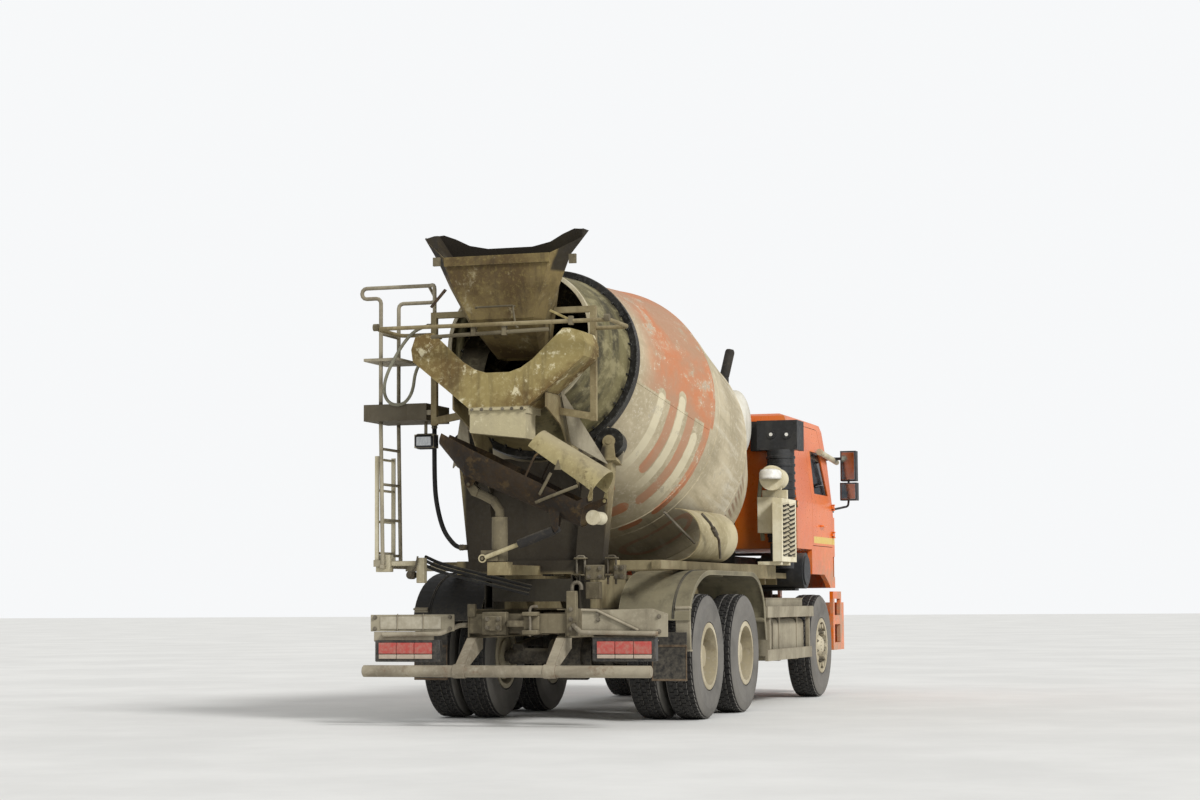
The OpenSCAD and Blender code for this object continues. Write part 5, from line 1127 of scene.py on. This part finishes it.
def makeHopperTrim():
    form = pipes(Form(), [
        (0.008, 0.03, [(-2.033, -0.163, 3.420), (-2.085, -0.163, 3.420), (-2.085, -0.188, 3.247),
                       (-2.033, -0.188, 3.247)]),
        (0.008, 0.03, [(-2.033, 0.166, 3.417), (-2.085, 0.166, 3.417), (-2.085, -0.163, 3.420)]),
        (0.016, 0.05, [(-2.130, 0.525, 3.184), (-2.130, -0.487, 3.211)])], 14)
    for y, z in ((1.002, 3.278), (-0.987, 3.280)):
        form.rod((-2.155, y - 0.02, z), (-2.155, y + 0.02, z), 0.030, 20, 0.030)
    form.box(-2.045, -2.020, 0.486, 0.546, 3.780, 3.851)
    form.box(-2.045, -2.020, -0.690, -0.630, 3.750, 3.826)
    form.box(-2.150, -2.112, -0.128, -0.090, 3.175, 3.262)
    form.box(-2.150, -2.112, 0.137, 0.175, 3.180, 3.270)
    form.box(-2.175, -2.135, -0.700, -0.666, 3.235, 3.305)
    piece("hopperTrim", form.data(), "chassis", "dustySteel", shift=True, angle=50,
          bevel=0.0)
    form = Form()
    form.prism([(0.428, 3.577), (0.448, 3.590), (0.575, 3.447), (0.560, 3.434)], -2.040, -2.020, "x")
    piece("hopperBrace", form.data(), "chassis", "brownRust", bevel=0.003, shift=True)
    form = Form()
    form.prism([(-0.471, 3.382), (-0.456, 3.368), (-0.616, 3.288), (-0.632, 3.302)], -2.040, -2.020, "x")
    form.prism([(0.247, 2.579), (-0.250, 2.579), (-0.235, 2.600), (0.235, 2.600)], -2.020, -2.0, "x")
    piece("funnelTrim", form.data(), "chassis", "collectorMud", bevel=0.003, shift=True)
    spots = [(-2.0, y, 2.587) for y in (-0.215, -0.13, -0.05, 0.05, 0.13, 0.215)]
    form = Form().add(boltsAt([(x - 0.02, y, z) for x, y, z in spots], 0.020, 0.010, (0, -90, 0), 0.003))
    piece("funnelBolts", form.data(), "chassis", "boltSteel", shift=True, angle=25)


def makeChuteTrim():
    form = pipes(Form(), [
        (0.013, 0.03, [(-2.165, -0.511, 2.048), (-2.165, -0.414, 1.877)]),
        (0.013, 0.03, [(-2.165, -0.380, 1.814), (-2.165, -0.506, 1.861), (-2.165, -0.732, 1.940)])])
    form.prism([(-0.541, 2.072), (-0.575, 2.154), (-0.595, 2.071)], -2.178, -2.160, "x")
    piece("chuteLatch", form.data(), "chute", "dustySteel", shift=True, angle=50)
    form = Form().rod((-2.060, -0.831, 1.690), (-1.840, -0.831, 1.690), 0.052, 28)
    form.rod((-2.070, -0.831, 1.690), (-2.058, -0.831, 1.690), 0.060, 28)
    piece("chuteEnd", form.data(), "chute", "creamPaint", shift=True, angle=50)


makeHopperTrim()
makeChuteTrim()
print("chutes made")


# Right side

coolerLook = {"face": -1.215, "rows": 12, "columns": ((3.000, 3.250), (3.290, 3.540)),
              "low": 1.450, "high": 1.985, "lean": 0.030, "half": 0.009}


def makeCooler(look):
    slots = Form()
    pitch = (look["high"] - look["low"]) / look["rows"]
    for a, b in look["columns"]:
        for i in range(look["rows"]):
            z = look["low"] + (i + 0.5) * pitch
            slots.prism([(a, z - look["half"]), (b, z - look["half"] + look["lean"]),
                         (b, z + look["half"] + look["lean"]), (a, z + look["half"])],
                        look["face"] - 0.003, look["face"] + 0.004, "y")
    piece("coolerSlots", slots.data(), "chassis", "slotDark", shift=True)
    hoods = Form()
    for a, b in look["columns"]:
        for i in range(look["rows"]):
            z = look["low"] + (i + 0.5) * pitch + look["half"]
            hoods.solid([(a - 0.006, look["face"] + 0.002, z), (b + 0.006, look["face"] + 0.002, z + look["lean"]),
                         (b + 0.006, look["face"] - 0.014, z + look["lean"] - 0.004),
                         (a - 0.006, look["face"] - 0.014, z - 0.004),
                         (a - 0.006, look["face"] + 0.002, z + 0.014),
                         (b + 0.006, look["face"] + 0.002, z + look["lean"] + 0.014)],
                        [(0, 3, 2, 1), (3, 4, 5, 2), (0, 1, 5, 4), (0, 4, 3), (1, 2, 5)])
    bmesh.ops.recalc_face_normals(hoods.mesh, faces=hoods.mesh.faces)
    piece("coolerHoods", hoods.data(), "chassis", "creamPaint", shift=True)
    form = pipes(Form(), [
        (0.022, 0.12, [(3.234, -0.950, 2.337), (3.176, -0.930, 2.032), (3.329, -0.930, 1.633)])], 16)
    piece("coolerHose", form.data(), "chassis", "hoseGrey", shift=True, angle=60)
    cap = lathe([(0.0, 0.0), (0.105, 0.0), (0.1135, 0.010), (0.1135, 0.060), (0.100, 0.085),
                 (0.060, 0.100), (0.0, 0.104)], 48, "capWhite")
    cap.transform(Matrix.Translation((3.040, -1.084, 2.232)))
    piece("filterCap", cap, "chassis", "capWhite", shift=True, angle=40)


def makeIntake():
    form = Form()
    for y, z in ((-0.940, 2.725), (-1.104, 2.721)):
        form.rod((3.700, y, z), (3.688, y, z), 0.042, 28)
    for y in (-1.190, -0.812):
        for z in (2.590, 2.718, 2.846):
            form.rod((3.701, y, z), (3.694, y, z), 0.011, 12)
    for k in range(11):
        z = 1.690 + 0.080 * k
        rib = lathe([(0.136, z - 0.020), (0.149, z - 0.012), (0.149, z + 0.012), (0.136, z + 0.020)],
                    40, "blackPlastic")
        rib.transform(Matrix.Translation((3.785, -1.020, 0)))
        form.add(rib)
    piece("intakeRibs", form.data(), "cab", "blackPlastic", shift=True, angle=40)
    form = Form()
    for y, z in ((-0.940, 2.725), (-1.104, 2.721)):
        form.rod((3.689, y, z), (3.684, y, z), 0.018, 20)
    piece("intakeCentres", form.data(), "cab", "capWhite", shift=True)


def makeSpareTrim():
    form = pipes(Form(), [
        (0.012, 0.04, [(-0.123, -1.215, 1.776), (0.020, -1.250, 1.700), (0.319, -1.250, 1.560),
                       (0.420, -1.235, 1.400)]),
        (0.011, 0.03, [(-0.600, -1.005, 1.781), (0.070, -1.092, 1.530)])])
    form.rod((0.110, -1.250, 1.658), (0.230, -1.250, 1.602), 0.022, 14)
    piece("spareStrap", form.data(), "chassis", "boltSteel", shift=True, angle=50)


makeCooler(coolerLook)
makeIntake()
makeSpareTrim()
print("right side made")


# Cab

cabLook = {"seamX": (4.280,), "side": 1.160}


def makeCab():
    form = Form()
    for side in (1, -1):
        form.rod((3.847, side * 1.160, 2.012), (3.847, side * 1.176, 2.012), 0.036, 24)
    piece("sideLampRims", form.data(), "cab", "blackPlastic", shift=True)
    form = Form()
    for side in (1, -1):
        form.rod((3.847, side * 1.174, 2.012), (3.847, side * 1.184, 2.012), 0.028, 24)
    piece("sideLamps", form.data(), "cab", "lampAmber", shift=True)
    glass = Form()
    for side in (1, -1):
        a, b = span(side, 1.236, 1.382)
        glass.box(5.824, 5.831, a, b, 2.352, 2.658)
        a, b = span(side, 1.228, 1.388)
        glass.box(5.824, 5.831, a, b, 2.136, 2.308)
    piece("mirrorFaces", glass.data(), "cab", "glassMirror", bevel=0.004, shift=True)
    form = Form().rod((5.180, -1.130, 2.625), (6.080, -1.130, 2.560), 0.030, 24)
    form.rod((5.170, -1.130, 2.626), (5.186, -1.130, 2.625), 0.036, 24)
    piece("visorRod", form.data(), "cab", "creamPaint", shift=True)


makeCab()
print("cab made")


# Fenders: seams and a tail behind the outer tyre

fenderLook = {"low": 0.860, "high": 0.430, "rear": -0.700, "rearHalf": 0.750, "front": 2.070,
              "frontHalf": 0.570, "seams": (1.098, 1.112), "tail": [(-0.690, 0.980), (-0.655, 0.980),
                                                                    (-0.625, 0.600), (-0.660, 0.600)]}


def fenderArc(look, lift, steps=20):
    arcs = []
    for middle, half, start, end in ((look["rear"] + look["rearHalf"], look["rearHalf"], 178, 90),
                                     (look["front"] - look["frontHalf"], look["frontHalf"], 90, 2)):
        for i in range(steps + 1):
            a = math.radians(start + (end - start) * i / steps)
            arcs.append((middle + (half + lift) * math.cos(a),
                         look["low"] + (look["high"] + lift) * math.sin(a)))
    return arcs


def makeFenders(look):
    seams, tails = Form(), Form()
    for side in (1, -1):
        for y in look["seams"]:
            route = [(x, side * y, z) for x, z in fenderArc(look, 0.001)]
            seams.add(pipe(route, 0.0045, 0, "hoseRubber", 8))
        a, b = span(side, 1.120, 1.248)
        tails.prism(look["tail"], a, b, "y")
        a, b = span(side, 1.120, 1.255)
        tails.box(-0.700, -0.640, a, b, 0.955, 0.975)
        tails.box(-0.680, -0.612, a, b, 0.596, 0.612)
    piece("fenderSeams", seams.data(), "chassis", "hoseRubber", shift=True, angle=60)
    piece("fenderTails", tails.data(), "chassis", "greyCream", bevel=0.005, shift=True)


# Left side: ladder foot, hoses over the frame

def makeLadderFoot():
    form = Form()
    form.box(-1.530, -1.440, 1.136, 1.263, 1.281, 1.425)
    form.box(-1.520, -1.450, 0.828, 0.900, 1.186, 1.398)
    form.box(-1.500, -1.470, 0.898, 1.140, 1.330, 1.372)
    piece("ladderFoot", form.data(), "chassis", "creamPaint", bevel=0.006, shift=True)
    form = Form()
    form.rod((-1.520, 0.955, 1.254), (-1.450, 0.955, 1.254), 0.036, 20)
    form.rod((-1.545, 0.955, 1.254), (-1.518, 0.955, 1.254), 0.018, 16)
    form.rod((-1.530, 1.200, 1.353), (-1.545, 1.200, 1.353), 0.020, 16)
    pipes(form, [(0.008, 0.02, [(-1.535, 0.955, 1.254), (-1.535, 0.895, 1.330), (-1.535, 0.880, 1.410)])])
    piece("ladderKnob", form.data(), "chassis", "boltSteel", shift=True, angle=40)
    routes = []
    for shift, low in ((0.0, 0.0), (0.035, 0.030), (-0.030, -0.035)):
        points = [(-1.330 + shift, 0.905, 1.381 + low), (-1.380 + shift, 0.732, 1.311 + low),
                  (-1.395 + shift, 0.392, 1.233 + low), (-1.350 + shift, -0.051, 1.121 + low)]
        route = softRoute(points, 8)
        routes.append((0.014, 0, route))
    form = pipes(Form(), routes, 12)
    piece("brakeHoses", form.data(), "chassis", "hoseRubber", shift=True, angle=60)


makeFenders(fenderLook)
makeLadderFoot()
print("fenders and ladder foot made")


# Plates beside the rollers, blades of the funnel's arms and the work lamp

def makePlates():
    form = Form()
    cheek = [(0.493, 2.419), (0.545, 2.468), (0.615, 2.499), (0.680, 2.470), (0.728, 2.405),
             (0.761, 2.280), (0.743, 2.181), (0.596, 2.185)]
    for side in (1, -1):
        form.prism([(side * y, z) for y, z in cheek], -0.965, -0.955, "x")
        top, low, back = ((-1.650, 0.415, 2.795), (-1.200, 0.697, 2.161), (-1.450, 0.454, 2.324))
        thick = 0.010
        spots = [(x, side * y, z) for x, y, z in (top, low, back)]
        spots += [(x + thick, side * (y - thick), z) for x, y, z in (top, low, back)]
        count = len(form.mesh.faces)
        form.solid(spots, [(0, 1, 2), (5, 4, 3), (0, 3, 4, 1), (1, 4, 5, 2), (2, 5, 3, 0)])
        form.mesh.faces.ensure_lookup_table()
        bmesh.ops.recalc_face_normals(form.mesh, faces=form.mesh.faces[count:])
        form.rod((-0.985, side * 0.580, 2.342), (-0.953, side * 0.580, 2.342), 0.040, 24)
    piece("rollerPlates", form.data(), "chassis", "greyCream", bevel=0.003, shift=True)
    lamp = Form().box(-1.458, -1.332, 0.762, 0.953, 2.317, 2.448)
    piece("workLamp", lamp.data(), "chassis", "blackPlastic", bevel=0.030, shift=True)
    face = Form().box(-1.464, -1.456, 0.792, 0.923, 2.345, 2.420)
    piece("workLampGlass", face.data(), "chassis", "lampClear", bevel=0.004, shift=True)


makePlates()
print("plates made")


# Rims, with their hand holes cut through

rimLook = {"front": {"parts": [[(0.249, 1.085), (0.249, 1.100), (0.205, 1.124), (0.125, 1.134),
                                (0.100, 1.134), (0.100, 1.122), (0.125, 1.120), (0.205, 1.110)],
                               [(0.0501, 0.938), (0.110, 0.938), (0.110, 1.130), (0.085, 1.165),
                                (0.060, 1.177), (0.0, 1.177), (0.0, 1.150), (0.0501, 1.150)],
                               [(0.105, 0.938), (0.205, 0.938), (0.205, 1.000), (0.190, 1.000),
                                (0.190, 0.952), (0.105, 0.952)]],
                     "hole": 0.216, "from": 1.060, "to": 1.160},
           "rear": {"parts": [[(0.249, 0.966), (0.249, 0.984), (0.215, 0.958), (0.150, 0.952),
                               (0.120, 0.952), (0.120, 0.938), (0.150, 0.938), (0.220, 0.942)],
                              [(0.249, 0.909), (0.249, 0.891), (0.215, 0.917), (0.150, 0.923),
                               (0.120, 0.923), (0.120, 0.9375), (0.150, 0.9375), (0.220, 0.933)],
                              [(0.0501, 0.640), (0.150, 0.640), (0.150, 1.000), (0.115, 1.015),
                               (0.115, 1.150), (0.095, 1.180), (0.0, 1.180), (0.0, 1.150),
                               (0.0501, 1.150)],
                              [(0.140, 0.660), (0.205, 0.660), (0.205, 0.880), (0.190, 0.880),
                               (0.190, 0.680), (0.140, 0.680)]],
                    "hole": 0.214, "from": 0.860, "to": 1.060},
           "holes": 10, "holeRadius": 0.026, "segments": 80, "rim": 0.262, "gap": 0.0003}


def rimSection(look, half):
    r, h, seat = look["rim"], half - 0.006, half - 0.025 + look["gap"]
    return [(r - 0.014, -h), (r + 0.024, -h), (r + 0.024, -seat + 2 * look["gap"]), (r, -seat + 2 * look["gap"]),
            (r, seat), (r + 0.024, seat), (r + 0.030, h - 0.004), (r + 0.024, h), (r - 0.014, h)]


def makeRims(look):
    holes = Form()
    for i in range(look["holes"]):
        angle = 2 * math.pi * (i + 0.5) / look["holes"]
        for axle in ("front", "rear"):
            r = look[axle]["hole"]
            spot = (r * math.cos(angle), r * math.sin(angle))
            if axle == "front":
                holes.rod(spot + (look[axle]["from"],), spot + (look[axle]["to"],), look["holeRadius"], 20)
    cutters = {"front": holes.data()}
    holes = Form()
    for i in range(look["holes"]):
        angle = 2 * math.pi * (i + 0.5) / look["holes"]
        r = look["rear"]["hole"]
        spot = (r * math.cos(angle), r * math.sin(angle))
        holes.rod(spot + (look["rear"]["from"],), spot + (look["rear"]["to"],), look["holeRadius"], 20)
    cutters["rear"] = holes.data()
    for axle, (x, ys) in wheelSet.items():
        kind = "front" if axle == "front" else "rear"
        form = Form()
        for y in ys:
            form.add(lathe([(r, h + y) for r, h in rimSection(look, tyreShape["half"])], look["segments"],
                           "wheelPaint"))
        for profile in look[kind]["parts"]:
            form.add(lathe(profile, look["segments"], "wheelPaint"))
        whole = shown("whole", form.data())
        tool = shown("tool", cutters[kind])
        cut = whole.modifiers.new("cut", "BOOLEAN")
        cut.operation, cut.object, cut.solver = "DIFFERENCE", tool, "EXACT"
        depsgraph = bpy.context.evaluated_depsgraph_get()
        mesh = bpy.data.meshes.new_from_object(whole.evaluated_get(depsgraph), depsgraph=depsgraph)
        bpy.data.objects.remove(whole)
        bpy.data.objects.remove(tool)
        for side, word in ((1, "left"), (-1, "right")):
            copy = mesh.copy()
            copy.transform(wheelPlace(x, 0, side))
            piece("rim" + axle.title() + word.title(), copy, "wheel_" + axle + "_" + word, "wheelPaint",
                  stands=("rim_" + axle + "_" + word,), angle=30)


makeRims(rimLook)
print("rims made")


# Floor and light

studio = {"sky": (0.93, 0.94, 0.95, 1), "skyPower": 0.62, "floor": "#E9E8E4", "half": 150,
          "sunPower": 2.3, "sunTravel": (0.50, 0.72, -0.62), "sunAngle": 14}


def makeStudio(look):
    world = bpy.data.worlds.new("studio")
    bpy.context.scene.world = world
    world.use_nodes = True
    tree = world.node_tree
    tree.nodes.clear()
    soft = tree.nodes.new("ShaderNodeBackground")
    soft.inputs[0].default_value, soft.inputs[1].default_value = look["sky"], look["skyPower"]
    seen = tree.nodes.new("ShaderNodeBackground")
    seen.inputs[0].default_value, seen.inputs[1].default_value = look["sky"], 1.0
    ray = tree.nodes.new("ShaderNodeLightPath")
    either = tree.nodes.new("ShaderNodeMath")
    either.operation = "MAXIMUM"
    tree.links.new(ray.outputs["Is Camera Ray"], either.inputs[0])
    tree.links.new(ray.outputs["Is Transmission Ray"], either.inputs[1])
    both = tree.nodes.new("ShaderNodeMixShader")
    tree.links.new(either.outputs[0], both.inputs[0])
    tree.links.new(soft.outputs[0], both.inputs[1])
    tree.links.new(seen.outputs[0], both.inputs[2])
    out = tree.nodes.new("ShaderNodeOutputWorld")
    tree.links.new(both.outputs[0], out.inputs[0])
    mesh = bpy.data.meshes.new("floor")
    h = look["half"]
    mesh.from_pydata([(-h, -h, -0.002), (h, -h, -0.002), (h, h, -0.002), (-h, h, -0.002)], [],
                     [(0, 1, 2, 3)])
    floor = bpy.data.objects.new("floor", mesh)
    bpy.context.scene.collection.objects.link(floor)
    mesh.materials.append(plainPaint("floorPaint", "#DFDEDA", look["floor"], 0.4, (0.8, 0.95)))
    sun = bpy.data.objects.new("sun", bpy.data.lights.new("sun", "SUN"))
    sun.data.energy, sun.data.angle = look["sunPower"], math.radians(look["sunAngle"])
    sun.rotation_euler = Vector(look["sunTravel"]).to_track_quat("-Z", "Y").to_euler()
    bpy.context.scene.collection.objects.link(sun)


makeStudio(studio)
bpy.context.scene.view_settings.view_transform = "Standard"
